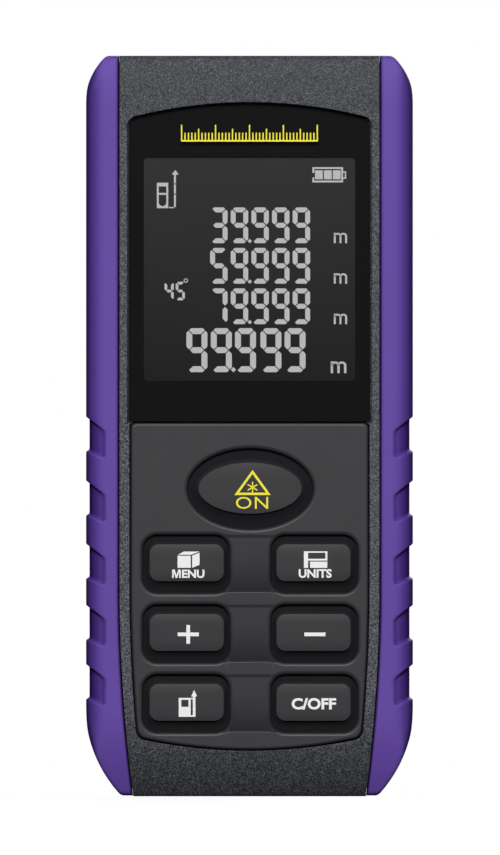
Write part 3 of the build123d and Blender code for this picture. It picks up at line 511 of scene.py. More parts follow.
def bisect(test, low, high):
    """Largest value between low and high for which test holds, element by element."""
    for _ in range(34):
        mid = (low + high) / 2
        inside = test(mid)
        low, high = np.where(inside, mid, low), np.where(inside, high, mid)
    return low


def grip_rows():
    """Heights of the grips' rows, closest at the recesses and the ends, with the lowest and highest."""
    foot, top = 0.12, LENGTH
    ends = END_ROUND * (1 - np.cos(np.linspace(0, math.pi / 2, 6)))
    lower = np.arange(0.7, 12.0, 0.35)
    fine = np.arange(12.0, 60.0, 0.2)
    coarse = np.arange(60.0, FACE_Z, 1.1)
    upper = np.arange(FACE_Z, LENGTH - 0.55, 0.3)
    return np.concatenate([foot + ends, lower, fine, coarse, upper, (top - ends)[::-1]]), foot, top


def recess_depth(x_hat, run, z):
    """Depth of the slanted finger recesses: x_hat is the front-view x, run the way round from the crease."""
    depth = np.zeros_like(z)
    drop = HALF - x_hat
    for centre in RECESS_CENTRES:
        top_edge = centre + RECESS_HALF - drop * TOP_SLANT
        low_edge = centre - RECESS_HALF - drop * LOW_SLANT
        near = np.minimum((top_edge - z) / 0.4, (z - low_edge) / RECESS_WALL)
        near = -smooth_max(-near, -run / 0.35, 1.2)
        share = np.clip(near, 0, 1)
        depth = np.maximum(depth, RECESS_DEPTH * share * share * (3 - 2 * share))
    return depth


def grip_points():
    """Outer and inner point grids of the right grip, rows by columns by xyz."""
    zs, foot, top = grip_rows()
    t = np.linspace(-1, 1, GRIP_COLUMNS)
    t = np.sign(t) * (1 - (1 - np.abs(t)) ** 1.25)
    short = np.clip(END_ROUND - np.minimum(zs - foot, top - zs), 0, END_ROUND)
    inset = END_ROUND - np.sqrt(np.clip(END_ROUND**2 - short**2, 0, None))
    wall = seam_x(zs) + SEAM_GROW
    reach = wall - GRIP_CORE_X

    def wall_turn(sign):
        y = bisect(lambda y: body_field(wall, sign * y, zs, inset) < 0, 0 * zs, 0 * zs + 20)
        return np.arctan2(y, reach)[:, None]

    turn = np.where(t < 0, wall_turn(-1), wall_turn(1)) * t
    zz = np.repeat(zs[:, None], GRIP_COLUMNS, 1)
    tall = inset[:, None]

    def cast(offset):
        def held(radius):
            x, y = GRIP_CORE_X + radius * np.cos(turn), radius * np.sin(turn)
            return body_field(x, y, zz, tall) + offset < 0

        return bisect(held, np.zeros_like(zz), np.full_like(zz, 40.0))

    radius = cast(0.0)
    x, y = GRIP_CORE_X + radius * np.cos(turn), radius * np.sin(turn)
    step = 0.02
    gx = body_field(x + step, y, zz, tall) - body_field(x - step, y, zz, tall)
    gy = body_field(x, y + step, zz, tall) - body_field(x, y - step, zz, tall)
    size = np.hypot(gx, gy) + 1e-9
    nx, ny = gx / size, gy / size
    along = np.concatenate([0 * x[:, :1], np.cumsum(np.hypot(np.diff(x), np.diff(y)), 1)], 1)
    run = np.full_like(x, -1.0)
    middle = GRIP_COLUMNS // 2
    for row in range(len(zs)):
        for half in (slice(0, middle + 1), slice(middle, GRIP_COLUMNS)):
            order = np.argsort(x[row, half])
            crease = np.interp(RECESS_EDGE_X, x[row, half][order], along[row, half][order])
            away = np.abs(along[row, half] - crease)
            run[row, half] = np.where(x[row, half] > RECESS_EDGE_X, away, -away)
    depth = recess_depth(x, run, zz)
    lip = np.clip(SEAM_ROUND - (x - wall[:, None]), 0, SEAM_ROUND)
    soften = SEAM_ROUND - np.sqrt(np.clip(SEAM_ROUND**2 - lip**2, 0, None))
    x2 = x - nx * depth
    y2 = y - ny * depth - np.sign(y) * soften * (np.abs(ny) > 0.5)
    flat_wall = reach[:, None] / np.cos(turn)
    core = cast(GRIP_THICK)
    on_wall = core < flat_wall
    r_in = np.maximum(np.minimum(np.maximum(core, flat_wall), radius - 0.02), flat_wall)
    xi = GRIP_CORE_X + r_in * np.cos(turn)
    yi = np.clip(r_in * np.sin(turn), y2[:, :1], y2[:, -1:])
    below = np.minimum(yi - y2[:, :1], y2[:, -1:] - yi)
    xi -= np.where(on_wall, (SEAM_GROW - 0.02) * np.clip(below / 0.8, 0, 1), 0)
    return np.stack([x2, y2, zz], 2), np.stack([xi, yi, zz], 2), depth / RECESS_DEPTH


def grips():
    """Both rubber grips, the left one mirrored, with the recess depth kept for the painted shade in the
    rubber's colour.
    """
    outer, inner, depth = grip_points()
    rows, columns = outer.shape[:2]
    depth = np.concatenate([depth.ravel(), 0 * depth.ravel()])
    base = rows * columns
    faces = []
    for r in range(rows - 1):
        for c in range(columns - 1):
            a, b = r * columns + c, r * columns + c + 1
            faces.append((a, b, b + columns, a + columns))
            faces.append((base + a, base + a + columns, base + b + columns, base + b))
        for c in (0, columns - 1):
            a = r * columns + c
            faces.append((a, a + columns, base + a + columns, base + a))
    for r in (0, rows - 1):
        for c in range(columns - 1):
            a = r * columns + c
            faces.append((a, a + 1, base + a + 1, base + a))
    verts = np.concatenate([outer.reshape(-1, 3), inner.reshape(-1, 3)])
    for name, side in (("grip_right", 1), ("grip_left", -1)):
        obj = new_object(name + "_wrap", verts * (side, 1, 1), faces, MATS["grip"])
        layer = obj.data.attributes.new("recess", "FLOAT", "POINT")
        layer.data.foreach_set("value", depth)
        mend(obj, merge=True)
        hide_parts(name)


grips()


# ---- keypad outlines, in front view
def node_spot(node):
    low, high = node_box(node)
    return (low[0] + high[0]) / 2, (low[2] + high[2]) / 2


SPOTS = {key: node_spot("key_" + key) for key in KEYS}
MOAT_SIZE = {key: (13.2, 8.8, 2.3) for key in KEYS}
MOAT_SIZE["measure"] = (19.1, 12.2, None)
TOP_SIZE = {key: (11.55, 5.75, 1.4) for key in KEYS}
TOP_SIZE["measure"] = (16.1, 8.0, None)
TOP_SHIFT = {key: (-0.012 * SPOTS[key][0], 0.17) for key in KEYS}  # of the crown from the middle of its moat
TOP_SHIFT["measure"] = (0.0, 0.1)
MAT_FACE_Y, MAT_BACK_Y = FRONT + 0.3, -10.3
FLANGE_Y, FLANGE_THICK = -11.05, 0.72
RING, STRAIGHT = 96, 0.2  # points of a loop, and the share of a quarter's points on each straight


def loop(size, grow=0.0):
    """Rounded rectangle or ellipse round the origin, grown outward, as RING points in matching order."""
    w, h, r = size
    angle = (np.arange(RING) + 0.5) / RING * 2 * math.pi
    if r is None:
        a, b = w / 2, h / 2
        x, z = a * np.cos(angle), b * np.sin(angle)
        nx, nz = x / a**2, z / b**2
        size = np.hypot(nx, nz)
        return np.stack([x + nx / size * grow, z + nz / size * grow], 1)
    hub_x, hub_z = w / 2 - r, h / 2 - r
    run = (np.arange(RING // 4) + 0.5) / (RING // 4)
    a = np.clip((run - STRAIGHT) / (1 - 2 * STRAIGHT), 0, 1) * math.pi / 2
    quarters = []
    for c, s in ((1, 0), (0, 1), (-1, 0), (0, -1)):
        before, after = (hub_z, hub_x) if c else (hub_x, hub_z)
        x = (r + grow) * np.cos(a) - after * np.clip(run - 1 + STRAIGHT, 0, None) / STRAIGHT
        z = (r + grow) * np.sin(a) - before * np.clip(1 - run / STRAIGHT, 0, None)
        quarters.append(np.stack([x * c - z * s + (c - s) * hub_x, x * s + z * c + (c + s) * hub_z], 1))
    return np.concatenate(quarters)


def rect_distance(x, z, size):
    """Signed distance to a rounded rectangle or, nearly, an ellipse; negative inside."""
    w, h, r = size
    if r is None:
        a, b = w / 2, h / 2
        level = np.hypot(x / a, z / b)
        slope = np.hypot(x / a**2, z / b**2) + 1e-9
        return level * (level - 1) / slope
    qx, qz = np.abs(x) - (w / 2 - r), np.abs(z) - (h / 2 - r)
    return np.hypot(np.clip(qx, 0, None), np.clip(qz, 0, None)) + np.minimum(np.maximum(qx, qz), 0) - r


def mat_outline(inset=0.0):
    """Edge of the keypad, clockwise from its top right corner to its foot and up the left side."""
    top, radius = KEYPAD_TOP - inset, KEYPAD_FILLET - inset
    across = KEYPAD_INSET + inset
    sag_half = float(seam_x(KEYPAD_CORNER)) - KEYPAD_INSET
    cx, cz, big = through((sag_half, KEYPAD_CORNER), (0, KEYPAD_FOOT), (-sag_half, KEYPAD_CORNER))
    big -= inset

    def corner(z):
        slope = max(SEAM_Z - z, 0) / SEAM_R
        return float(seam_x(z)) - across - radius * math.hypot(1, slope), slope

    z = bisect(lambda z: math.hypot(corner(z)[0] - cx, z - cz) > big - radius, KEYPAD_FOOT, KEYPAD_TOP)
    x, slope = corner(z)
    hub = (x, float(z))
    lean = math.degrees(math.atan(slope))
    foot_turn = math.degrees(math.atan2(hub[1] - cz, hub[0] - cx))
    bend = arc_points(hub, radius, -lean, foot_turn, 12)
    zs = np.linspace(top - KEYPAD_SHOULDER, bend[0][1], 36)[:-1]
    right = np.stack([seam_x(zs) - across, zs], 1)
    hub = (right[0][0] - KEYPAD_SHOULDER, top - KEYPAD_SHOULDER)
    head = arc_points(hub, KEYPAD_SHOULDER, 90, 0, 7)[:-1]
    xs = np.linspace(bend[-1][0], 0, 20)[1:-1]
    foot = np.stack([xs, cz - np.sqrt(big**2 - (xs - cx) ** 2)], 1)
    half = np.concatenate([head, right, bend, foot])
    return np.concatenate([half, [[0, KEYPAD_FOOT + inset]], half[::-1] * (-1, 1)])


def arc_points(centre, radius, start, stop, count):
    a = np.radians(np.linspace(start, stop, count))
    return np.stack([centre[0] + radius * np.cos(a), centre[1] + radius * np.sin(a)], 1)


KEYPAD_TOP, KEYPAD_CORNER, KEYPAD_FOOT = 56.7, 9.0, 7.1
KEYPAD_FILLET, KEYPAD_SHOULDER, EDGE_ROUND, MOAT_ROUND = 1.6, 0.8, 0.35, 0.5
TROUGH_HALF, TROUGH_REACH = 8, 4.3
ROW_Z = sorted({round(SPOTS[key][1], 2) for key in KEYS if key != "measure"})


def round_drop(distance, radius):
    """Drop of a rounded edge, at a distance in from the edge."""
    gap = np.clip(1 - distance / radius, 0, 1)
    return radius * (1 - np.sqrt(1 - gap**2 * 0.98))


def trough_drop(x, z):
    """Depth of the troughs between the keys of a row, deepest at their lower edge."""
    drop = np.zeros_like(x)
    for row in ROW_Z:
        inside = (np.abs(z - row) < TROUGH_REACH + 0.3) & (np.abs(x) < TROUGH_HALF)
        share = np.clip((row + TROUGH_REACH - z) / (2 * TROUGH_REACH), 0, 1)
        floor = 0.10 + 0.30 * share**3
        upper = np.clip((row + TROUGH_REACH + 0.1 - z) / 0.35, 0, 1)
        lower = np.clip((z - (row - TROUGH_REACH)) / 0.22, 0, 1)
        gate = upper * upper * (3 - 2 * upper) * lower * lower * (3 - 2 * lower)
        drop = np.where(inside, np.maximum(drop, floor * gate), drop)
    return drop


# heights of grid rows round the middle of a key row, close together at the troughs' edges
ROW_LEVELS = [4.45, 4.38, 4.3, 4.22, 4.14, 4.05, 3.8, 2.6, 1.2, 0, -1.2, -2.2, -3.0, -3.5]
ROW_LEVELS += [-3.8, -3.95, -4.05, -4.1, -4.15, -4.2, -4.25, -4.3, -4.4]


def keypad_mat():
    """Rubber keypad: rounded rim, moats with rounded lips, shallow troughs between the keys of a row."""
    points, edges, heights = [], [], []

    def ring(loop_points, extra):
        first = len(points)
        points.extend(map(tuple, loop_points))
        heights.extend([extra] * len(loop_points))
        count = len(loop_points)
        edges.extend((first + k, first + (k + 1) % count) for k in range(count))

    for inset in (0.0, 0.03, 0.10, 0.2, EDGE_ROUND, EDGE_ROUND + 0.1):
        ring(mat_outline(inset), round_drop(inset, EDGE_ROUND))
    for key in KEYS:
        centre = np.array(SPOTS[key])
        for grow in (0.0, 0.04, 0.12, 0.25, MOAT_ROUND, MOAT_ROUND + 0.12):
            ring(loop(MOAT_SIZE[key], grow) + centre, round_drop(grow, MOAT_ROUND))
    fence = mat_outline(EDGE_ROUND + 0.2)
    levels = [row + level for row in ROW_Z for level in ROW_LEVELS]
    levels += list(np.arange(41.5, 56.0, 1.5)) + [8.2, 9.0]
    for z in levels:
        half = float(seam_x(z)) - KEYPAD_INSET - EDGE_ROUND - 0.2
        for x in np.arange(-17.4, 17.5, 0.6):
            inside = abs(x) <= half and z >= fence[:, 1].min() + 0.2 + 0.006 * x * x
            for key in KEYS:
                away = np.array((x, z)) - SPOTS[key]
                inside = inside and rect_distance(*away, MOAT_SIZE[key]) >= MOAT_ROUND + 0.2
            if inside:
                points.append((x, z))
                heights.append(0.0)
    flat, _, tris, origin, _, _ = delaunay_2d_cdt([Vector(p) for p in points], edges, [], 0, 1e-5)
    flat = np.array([tuple(p) for p in flat])
    lift = np.array([max((heights[k] for k in source), default=0.0) for source in origin])
    x, z = flat[:, 0], flat[:, 1]
    y = MAT_FACE_Y + lift + trough_drop(x, z)
    rim = mat_outline()
    holes = [loop(MOAT_SIZE[key]) + SPOTS[key] for key in KEYS]
    keep = []
    for tri in tris:
        mid = flat[list(tri)].mean(0)
        if in_polygon(mid, rim) and not any(in_polygon(mid, hole) for hole in holes):
            keep.append(tuple(tri))
    front = np.stack([x, y, z], 1)
    back = np.stack([x, np.full_like(y, MAT_BACK_Y), z], 1)
    count = len(front)
    faces = keep + [tuple(count + k for k in tri[::-1]) for tri in keep]
    tally = dict.fromkeys((tri[k], tri[(k + 1) % 3]) for tri in keep for k in range(3))
    for a, b in tally:
        if (b, a) not in tally:
            faces.append((b, a, count + a, count + b))
    verts = np.concatenate([front, back])
    obj = new_object("keypad_mat_soft", verts, faces, MATS["keypad"])
    mend(obj, crisp=True)
    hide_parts("keypad_mat")


def in_polygon(point, polygon):
    """Whether a polygon's edges cross the line right of the point an odd number of times."""
    x, z = point
    px, pz = polygon[:, 0], polygon[:, 1]
    qx, qz = np.roll(px, -1), np.roll(pz, -1)
    crosses = (pz > z) != (qz > z)
    with np.errstate(divide="ignore", invalid="ignore"):
        at = px + (z - pz) / (qz - pz) * (qx - px)
    return bool(np.count_nonzero(crosses & (x < at)) % 2)


def mat_flange():
    """Flange round the back of the keypad, under the casing's lip."""
    outer, inner = mat_outline(-0.9), mat_outline(0.3)
    outer[:, 1] = np.minimum(outer[:, 1], KEYPAD_TOP)
    shapes = [band(outer, inner)]
    art("keypad_mat_flange", shapes, level(FLANGE_Y), MATS["keypad"], proud=0, sunk=FLANGE_THICK)


# ---- keys
CROWN_Y, CROWN_DROP = FRONT + 0.05, 0.16
SKIN, BEND = 0.14, 0.5
WEB = ((0.1, -12.05), (0.3, -11.75), (0.5, -11.6), (0.75, -11.5), (1.0, -11.44))  # share of the way out, y


def crown_y(key, dx, dz):
    """Face of a key's crown at an offset from the middle of its top."""
    w, h, _ = TOP_SIZE[key]
    level = (dx / (w / 2)) ** 4 * 0.6 + (dz / (h / 2)) ** 4 * 0.4
    return CROWN_Y + CROWN_DROP * level


def key_skin(key):
    """Thin rubber skin: crowned top, rounded edge and a web sloping down to the moat's wall."""
    centre = np.array(SPOTS[key])
    lift = np.array(TOP_SHIFT[key])
    top = loop(TOP_SIZE[key])
    rings = []
    for share in (0.1, 0.3, 0.5, 0.62, 0.72, 0.8, 0.87, 0.93, 0.97):
        flat = top * share
        rings.append((flat + lift, crown_y(key, flat[:, 0], flat[:, 1])))
    edge_y = crown_y(key, top[:, 0], top[:, 1])
    for turn in np.linspace(0, math.pi / 2 * 0.9, 7):
        flat = loop(TOP_SIZE[key], BEND * (math.sin(turn) - 1))
        rings.append((flat + lift, edge_y + BEND * (1 - math.cos(turn))))
    rim_flat = rings[-1][0]
    for share, y in WEB:
        rings.append((rim_flat + (loop(MOAT_SIZE[key], 0.06) - rim_flat) * share, np.full(RING, y)))
    verts, faces = [], []
    for inward in (0.0, SKIN):
        for flat, y in rings:
            spot = flat + centre
            verts.extend(zip(spot[:, 0], y + inward, spot[:, 1]))
        middle = centre + lift
        verts.append((middle[0], CROWN_Y + inward, middle[1]))
    sheet = len(rings) * RING + 1
    for side in (0, 1):
        base = side * sheet
        for r in range(len(rings) - 1):
            for k in range(RING):
                a, b = base + r * RING + k, base + r * RING + (k + 1) % RING
                faces.append((a, b, b + RING, a + RING))
        for k in range(RING):
            faces.append((base + sheet - 1, base + k, base + (k + 1) % RING))
    last = (len(rings) - 1) * RING
    for k in range(RING):
        a, b = last + k, last + (k + 1) % RING
        faces.append((a, b, b + sheet, a + sheet))
    obj = new_object("key_" + key + "_skin", verts, faces, MATS["key"], body=None)
    mend(obj, crisp=True)
    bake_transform(obj)
    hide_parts("key_" + key)


for key in KEYS:
    key_skin(key)


# ---- flat artwork
def level(y):
    """Height function of a flat face."""
    return lambda x, z: np.full_like(x, y)


def art(name, shapes, height, mat, body="meter", proud=0.03, sunk=0.06):
    """Raised print.  shapes is a list of (vertices, faces) in front view; height gives y at x, z."""
    verts, faces = [], []
    for flat, polys in shapes:
        flat = np.asarray(flat, float)
        y = height(flat[:, 0], flat[:, 1])
        base, count = len(verts), len(flat)
        verts.extend(zip(flat[:, 0], y - proud, flat[:, 1]))
        verts.extend(zip(flat[:, 0], y + sunk, flat[:, 1]))
        tally = set()
        for poly in polys:
            faces.append(tuple(base + k for k in poly))
            faces.append(tuple(base + count + k for k in reversed(poly)))
            for k in range(len(poly)):
                tally.add((poly[k], poly[(k + 1) % len(poly)]))
        for a, b in tally:
            if (b, a) not in tally:
                faces.append((base + b, base + a, base + count + a, base + count + b))
    mend(new_object(name, verts, faces, mat, body=body, smooth=False))


def poly(points):
    return np.array(points, float), [tuple(range(len(points)))]


def rect(x0, z0, x1, z1):
    return poly([(x0, z0), (x1, z0), (x1, z1), (x0, z1)])


def band(outer, inner):
    """Closed band between two loops of the same count."""
    count = len(outer)
    faces = [(k, (k + 1) % count, count + (k + 1) % count, count + k) for k in range(count)]
    return np.concatenate([outer, inner]), faces


def bar(p, q, w):
    """Straight stroke from p to q, w wide."""
    along = (q - p) / np.hypot(*(q - p))
    side = np.array((-along[1], along[0])) * w / 2
    return poly([p - side, q - side, q + side, p + side])


def moved(shapes, x, z):
    return [(np.asarray(flat) + (x, z), polys) for flat, polys in shapes]


def text(letters, height, bold, centre, width):
    """Lettering from the built-in face, stretched to a height and a width round its centre."""
    curve = bpy.data.curves.new("lettering", "FONT")
    curve.body = letters
    curve.offset = bold
    curve.resolution_u = 4
    obj = bpy.data.objects.new("lettering", curve)
    SCENE.collection.objects.link(obj)
    mesh = bpy.data.meshes.new_from_object(obj.evaluated_get(bpy.context.evaluated_depsgraph_get()))
    flat = np.array([v.co[:2] for v in mesh.vertices])
    polys = [tuple(p.vertices) for p in mesh.polygons]
    bpy.data.objects.remove(obj)
    bpy.data.curves.remove(curve)
    bpy.data.meshes.remove(mesh)
    low, high = flat.min(0), flat.max(0)
    flat = (flat - (low + high) / 2) * (width, height) / (high - low) + centre
    return [weld(flat, polys)]


def weld(flat, polys):
    """Merge repeated points so neighbouring faces share edges."""
    seen, index, out = {}, [], []
    for p in flat:
        key = (round(float(p[0]), 5), round(float(p[1]), 5))
        if key not in seen:
            seen[key] = len(out)
            out.append(p)
        index.append(seen[key])
    faces = []
    for face in polys:
        face = [index[k] for k in face]
        face = [k for n, k in enumerate(face) if k != face[n - 1]]
        if len(face) > 2:
            faces.append(tuple(face))
    return np.array(out), faces


keypad_mat()
mat_flange()


# ---- display figures
POLARISER_Y = -11.14  # close behind the printed border
SEGMENTS = {"3": "abcdg", "5": "acdfg", "7": "abc", "9": "abcdfg", "4": "bcfg"}


def segment_shapes(w, h, t, c, g):
    """Seven segments of a figure, measured right and down from its top left: t thick, cut c, gaps g."""
    m, far, near = h / 2, (c + g) / 2, (c - g) / 2
    low, high, left, right = m - t / 2, m + t / 2, t + g, w - t - g
    top = [(c, 0), (w - c, 0), (w - far, near), (right, t), (left, t), (far, near)]
    upper = [(0, c), (near, far), (t, left), (t, low - g), (t / 2, m - g), (0, low - g)]
    mid = [(t / 2 + g, m), (left, low), (right, low), (w - t / 2 - g, m), (right, high), (left, high)]

    def flip_x(points):
        return [(w - x, z) for x, z in points][::-1]

    def flip_z(points):
        return [(x, h - z) for x, z in points][::-1]

    out = {"a": top, "f": upper, "g": mid, "b": flip_x(upper), "d": flip_z(top)}
    out["e"] = flip_z(upper)
    out["c"] = flip_z(flip_x(upper))
    return out


def figure(char, x, z, w, h, t, g=0.1):
    """Seven-segment figure with its top left at x, z."""
    shapes = segment_shapes(w, h, t, 0.8 * t, g)
    return [poly([(x + px, z - pz) for px, pz in shapes[s]]) for s in SEGMENTS[char]]


def small_m(x, z, w, h, t):
    """Unit letter with its foot at x, z: three legs with arched shoulders."""
    top = z + h
    out = [rect(x, z, x + t, top)]
    span = (w - t) / 2
    for k in (0, 1):
        mid = x + t / 2 + (k + 0.5) * span
        r_out, r_in = (span + t) / 2, (span - t) / 2
        spring = top - r_out * 0.9
        turn = np.linspace(0, math.pi, 13)
        outer = np.stack([mid + r_out * np.cos(turn), spring + r_out * 0.9 * np.sin(turn)], 1)
        inner = np.stack([mid + r_in * np.cos(turn), spring + r_in * 0.9 * np.sin(turn)], 1)
        faces = [(i, i + 1, len(turn) + i + 1, len(turn) + i) for i in range(len(turn) - 1)]
        out.append((np.concatenate([outer, inner]), faces))
        out.append(rect(mid + r_in, z, mid + r_out, spring))
    return out


def reading(chars, x_starts, top, w, h, t):
    """Row of figures with a point after the second."""
    out = []
    for char, x in zip(chars, x_starts):
        out += figure(char, x, top, w, h, t)
    x, z, r = (x_starts[1] + w + x_starts[2]) / 2, top - h + 0.42 * t, 0.44 * t
    out.append(poly([(x - r, z), (x, z - r), (x + r, z), (x, z + r)]))
    return out


def battery_sign():
    """Battery outline, open at its left end, with three charge bars and a hollow nub."""
    left, right, low, high, t = 9.56, 14.22, 93.25, 95.57, 0.28
    out = [rect(left, high - t, right, high), rect(left, low, right, low + t)]
    out += [rect(right - t, low + t, right, high - t)]
    out += [rect(left, 94.7, left + t, high - t), rect(left, low + t, left + t, 94.0)]
    out += [rect(x, 93.72, x + 1.18, 95.09) for x in (9.95, 11.31, 12.66)]
    nub_low, nub_high, tip = 93.8, 94.94, 14.68
    out += [rect(right, nub_high - 0.2, tip, nub_high), rect(right, nub_low, tip, nub_low + 0.2)]
    return out + [rect(tip - 0.2, nub_low + 0.2, tip, nub_high - 0.2)]


def datum_sign():
    """Sign for measuring from the base end: the meter and a dashed arrow."""
    x0, x1, low, high, t, r = -14.07, -12.34, 89.34, 93.2, 0.29, 0.58
    mid, spring = (x0 + x1) / 2, 90.22
    out = [rect(x0, low, x0 + t, high), rect(x1 - t, low, x1, high)]
    out += [rect(x0 + t, z, x1 - t, z + tall) for z, tall in ((low, 0.3), (91.36, 0.3), (92.64, 0.56))]
    for start, side in ((180, -1), (0, 1)):
        bowl = arc_points((mid, spring), r, start, 270 if side < 0 else -90, 9)
        out.append(poly([(mid + side * r, low + 0.3), *bowl]))
    out += [rect(-11.47, z0, -11.17, z1) for z0, z1 in ((89.51, 91.4), (91.55, 92.96), (93.09, 94.44))]
    out.append(poly([(-11.82, 94.44), (-10.73, 94.44), (-11.27, 95.13)]))
    return out + [rect(-12.23, 89.34, -11.47, 89.51)]


def display_figures():
    """Display's dark face and everything shown on it: three small readings, a large one and the signs."""
    shapes = battery_sign() + datum_sign()
    starts = [-5.98 + 3.135 * k for k in range(5)]
    for lead, top in (("3", 89.45), ("5", 83.3), ("7", 77.15)):
        shapes += reading(lead + "9999", starts, top, 2.65, 5.43, 0.75)
        shapes += small_m(12.81, top - 5.43, 2.02, 1.58, 0.3)
    shapes += reading("99999", (-9.58, -5.87, -2.2, 1.66, 5.33), 71.11, 3.19, 6.68, 0.9)
    shapes += small_m(12.34, 64.28, 2.38, 1.78, 0.36)
    for char, x in (("4", -12.9), ("5", -11.21)):
        shapes += figure(char, x, 78.16, 1.4, 2.82, 0.42, g=0.07)
    hub = (-9.67, 78.34)
    shapes.append(band(arc_points(hub, 0.33, 0, 345, 24), arc_points(hub, 0.2, 0, 345, 24)))
    half_w, low, high = VIEW_W / 2 + 0.4, VIEW_Z - VIEW_H / 2 - 0.4, VIEW_Z + VIEW_H / 2 + 0.4
    plate = [rect(-half_w, low, half_w, high)]
    art("display_face", plate, level(POLARISER_Y), MATS["lcd"], proud=0, sunk=0.1)
    art("display_figures", shapes, level(POLARISER_Y), MATS["segment"], sunk=0.02)


display_figures()


# ---- key legends
def legend(key, shapes, mat="white_ink"):
    """Print on a key, set a little towards the middle of the keypad from the middle of its moat."""
    cx, cz = np.array(SPOTS[key]) + TOP_SHIFT[key]

    def on_key(x, z):
        return crown_y(key, x - cx, z - cz)

    x, z = SPOTS[key]
    shapes = moved(shapes, x + 0.15 - 0.017 * x, z)
    art("legend_" + key, shapes, on_key, MATS[mat], body=key + "_button")


def letter_m(x, z, w, h):
    """Bold capital M with its foot at x, z."""
    outline = ((0, 0), (0, 1), (0.29, 1), (0.5, 0.33), (0.71, 1), (1, 1), (1, 0), (0.82, 0), (0.82, 0.72))
    outline += ((0.59, 0), (0.41, 0), (0.18, 0.72), (0.18, 0))
    return [poly([(x + px * w, z + pz * h) for px, pz in outline])]


def corner_frame(corners, w):
    """Outline of a convex shape, w wide, drawn inward."""
    corners = np.asarray(corners, float)
    middle = corners.mean(0)
    inner = []
    count = len(corners)
    for k in range(count):
        p, q, r = corners[k - 1], corners[k], corners[(k + 1) % count]
        normals = []
        for a, b in ((p, q), (q, r)):
            d = (b - a) / np.hypot(*(b - a))
            n = np.array((-d[1], d[0]))
            normals.append(n if np.dot(n, middle - a) > 0 else -n)
        m = normals[0] + normals[1]
        inner.append(q + m * w / np.dot(m, normals[0]))
    return band(corners, np.array(inner))


def measure_legend():
    """Warning triangle with a star, over two letters."""
    base, apex, half = -0.82, 3.0, 2.76
    shapes = [corner_frame([(-half, base), (half, base), (0, apex)], 0.36)]
    star = np.array((0, 0.34))
    for k in range(6):
        a = math.radians(90 + 60 * k)
        shapes.append(bar(star, star + (0.86 * math.cos(a), 0.86 * math.sin(a)), 0.18))
    shapes += text("O", 1.8, 0.0, (-1.35, -2.0), width=2.37)
    shapes += text("N", 1.8, 0.0, (1.36, -2.0), width=2.03)
    legend("measure", moved(shapes, 0.22, -0.12), "yellow_ink")


def menu_legend():
    """Box in three faces over its word."""
    front = rect(-1.62, -0.49, 0.38, 1.34)
    top = poly([(-1.59, 1.49), (0.47, 1.49), (1.72, 1.98), (-0.62, 1.98)])
    side = poly([(0.6, -0.49), (1.72, -0.03), (1.72, 1.82), (0.6, 1.34)])
    shapes = [front, top, side] + letter_m(-2.44, -2.04, 1.3, 1.28)
    shapes += text("ENU", 1.28, 0.035, (0.76, -1.4), width=3.42)
    legend("menu", moved(shapes, 0.03, -0.1))


def units_legend():
    """Folded ruler over its word."""
    shapes = [rect(-1.72, -0.7, -1.08, 1.81), rect(-1.08, 1.6, 1.84, 1.81), rect(1.55, 0.4, 1.84, 1.6)]
    shapes += [rect(-1.08, 0.4, 1.55, 0.68), rect(-0.78, -0.7, 1.84, 0.25)]
    shapes += text("UNITS", 1.34, 0.035, (0.0, -1.55), width=5.0)
    legend("units", moved(shapes, 0.15, 0.1))


def plain_legends():
    """Plus, minus, the datum sign with its arrow, and the clearing word."""
    w, long = 0.56, 3.2
    cross = [rect(-long / 2, -w / 2, long / 2, w / 2)]
    cross += [rect(-w / 2, w / 2, w / 2, 1.42), rect(-w / 2, -1.42, w / 2, -w / 2)]
    legend("plus", moved(cross, 0.03, -0.1))
    legend("minus", moved([rect(-long / 2, -w / 2, long / 2, w / 2)], 0.1, -0.1))
    body = [rect(-1.46, -1.73, -1.07, 1.15), rect(0.03, -1.73, 0.36, 1.15), rect(-1.07, 0.85, 0.03, 1.15)]
    body += [rect(-1.07, -1.73, 0.03, -0.21), rect(0.36, 0.92, 0.68, 1.15), rect(0.36, -1.73, 0.68, -1.48)]
    body += [rect(0.68, -1.73, 1.08, 1.37), poly([(0.42, 1.37), (1.34, 1.37), (0.88, 2.34)])]
    legend("reference", moved(body, 0.05, -0.3))
    legend("clear", text("C/OFF", 1.75, 0.035, (-0.05, -0.05), width=6.75))


measure_legend()
menu_legend()
units_legend()
plain_legends()


# ---- ruler strip printed on the window, above the display
RULER_HALF, RULER_LOW, RULER_Z, TICK_PITCH = 10.4, 99.45, 99.7, 0.515


def ruler_strip():
    shapes = [rect(-RULER_HALF, RULER_LOW, RULER_HALF, RULER_Z)]
    for k in range(-20, 21):
        tall = 2.3 if k % 10 == 0 else 1.7 if k % 5 == 0 else 1.1
        x = k * TICK_PITCH
        shapes.append(rect(x - 0.1, RULER_Z, x + 0.1, RULER_Z + tall))
    art("window_ruler", shapes, level(WINDOW_FACE), MATS["yellow_ink"], proud=0.02, sunk=0.02)


ruler_strip()


# ---- light, floor and camera
def area(name, where, size, power):
    """Area lamp in metres and watts, aimed at the middle of the meter."""
    lamp = bpy.data.lights.new(name, "AREA")
    lamp.shape = "RECTANGLE"
    lamp.size, lamp.size_y = size
    lamp.energy = power
    obj = bpy.data.objects.new(name, lamp)
    SCENE.collection.objects.link(obj)
    obj.location = where
    aim = Vector((0, 0, LENGTH / 2 * MM)) - Vector(where)
    obj.rotation_euler = aim.to_track_quat("-Z", "Y").to_euler()


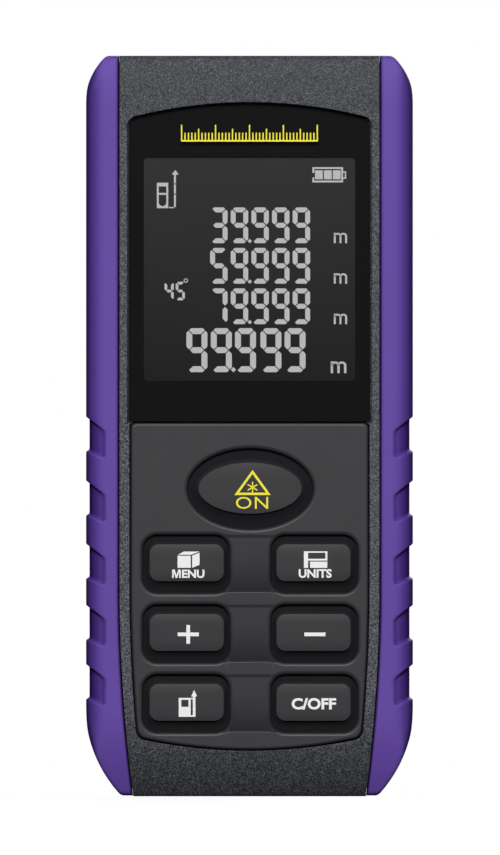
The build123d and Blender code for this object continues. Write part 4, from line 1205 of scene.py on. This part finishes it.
area("key_front", (-0.04, -1.0, 0.50), (0.45, 0.35), 9.6)
area("fill_right", (0.60, -0.60, 0.15), (0.10, 0.5), 0.55)
area("fill_left", (-0.60, -0.50, 0.15), (0.2, 0.5), 0.2)
area("fill_back", (0.1, 0.90, 0.45), (0.6, 0.4), 5.0)
area("top", (0, 0.05, 0.75), (0.5, 0.4), 0.8)

world = bpy.data.worlds.new("studio")
SCENE.world = world
world.use_nodes = True
finish(world.node_tree, world.node_tree.nodes["Background"], Color=(1, 1, 1, 1), Strength=1.0)
world.cycles_visibility.diffuse = False
world.cycles_visibility.glossy = False


def table_top():
    """Round pale table whose edge falls away on every side."""
    level_r, turns = 100.0, 72
    radii = [0.0, 60.0] + [level_r + 25 * k for k in range(40)]
    verts, faces = [], []
    for radius in radii:
        z = -max(radius - level_r, 0) ** 1.5 / 60
        for k in range(turns):
            a = 2 * math.pi * k / turns
            verts.append((radius * math.cos(a), radius * math.sin(a), z - 0.02))
    for r in range(len(radii) - 1):
        for k in range(turns):
            a, b = r * turns + k, r * turns + (k + 1) % turns
            faces.append((a, a + turns, b + turns, b))
    mat, tree, shader, at = material("studio_paper")
    cloud = noise(tree, at, 0.02, 2.0)
    colour = blend_colour(tree, cloud, (0.90, 0.90, 0.90, 1), (0.93, 0.93, 0.93, 1))
    finish(tree, shader, Base_Color=colour, Roughness=0.9, Emission_Color=(1, 1, 1, 1), Emission_Strength=0.4)
    obj = new_object("table_top", verts, faces, mat, body=None)
    mend(obj, merge=True)
    obj.visible_diffuse = False
    obj.visible_glossy = False


table_top()

PICTURE_TALL = 129.8745  # height of the picture at the meter, in millimetres
camera = bpy.data.cameras.new("camera")
camera.type = "ORTHO"
camera.ortho_scale = PICTURE_TALL * MM
camera.sensor_width = 36.0
camera.clip_start, camera.clip_end = 0.01, 20.0
eye = bpy.data.objects.new("camera", camera)
SCENE.collection.objects.link(eye)
SCENE.camera = eye
eye.location = (0.00008, -0.5, (LENGTH / 2 - 0.23) * MM)
eye.rotation_euler = (math.pi / 2, 0, 0)
SCENE.view_settings.view_transform = "Standard"
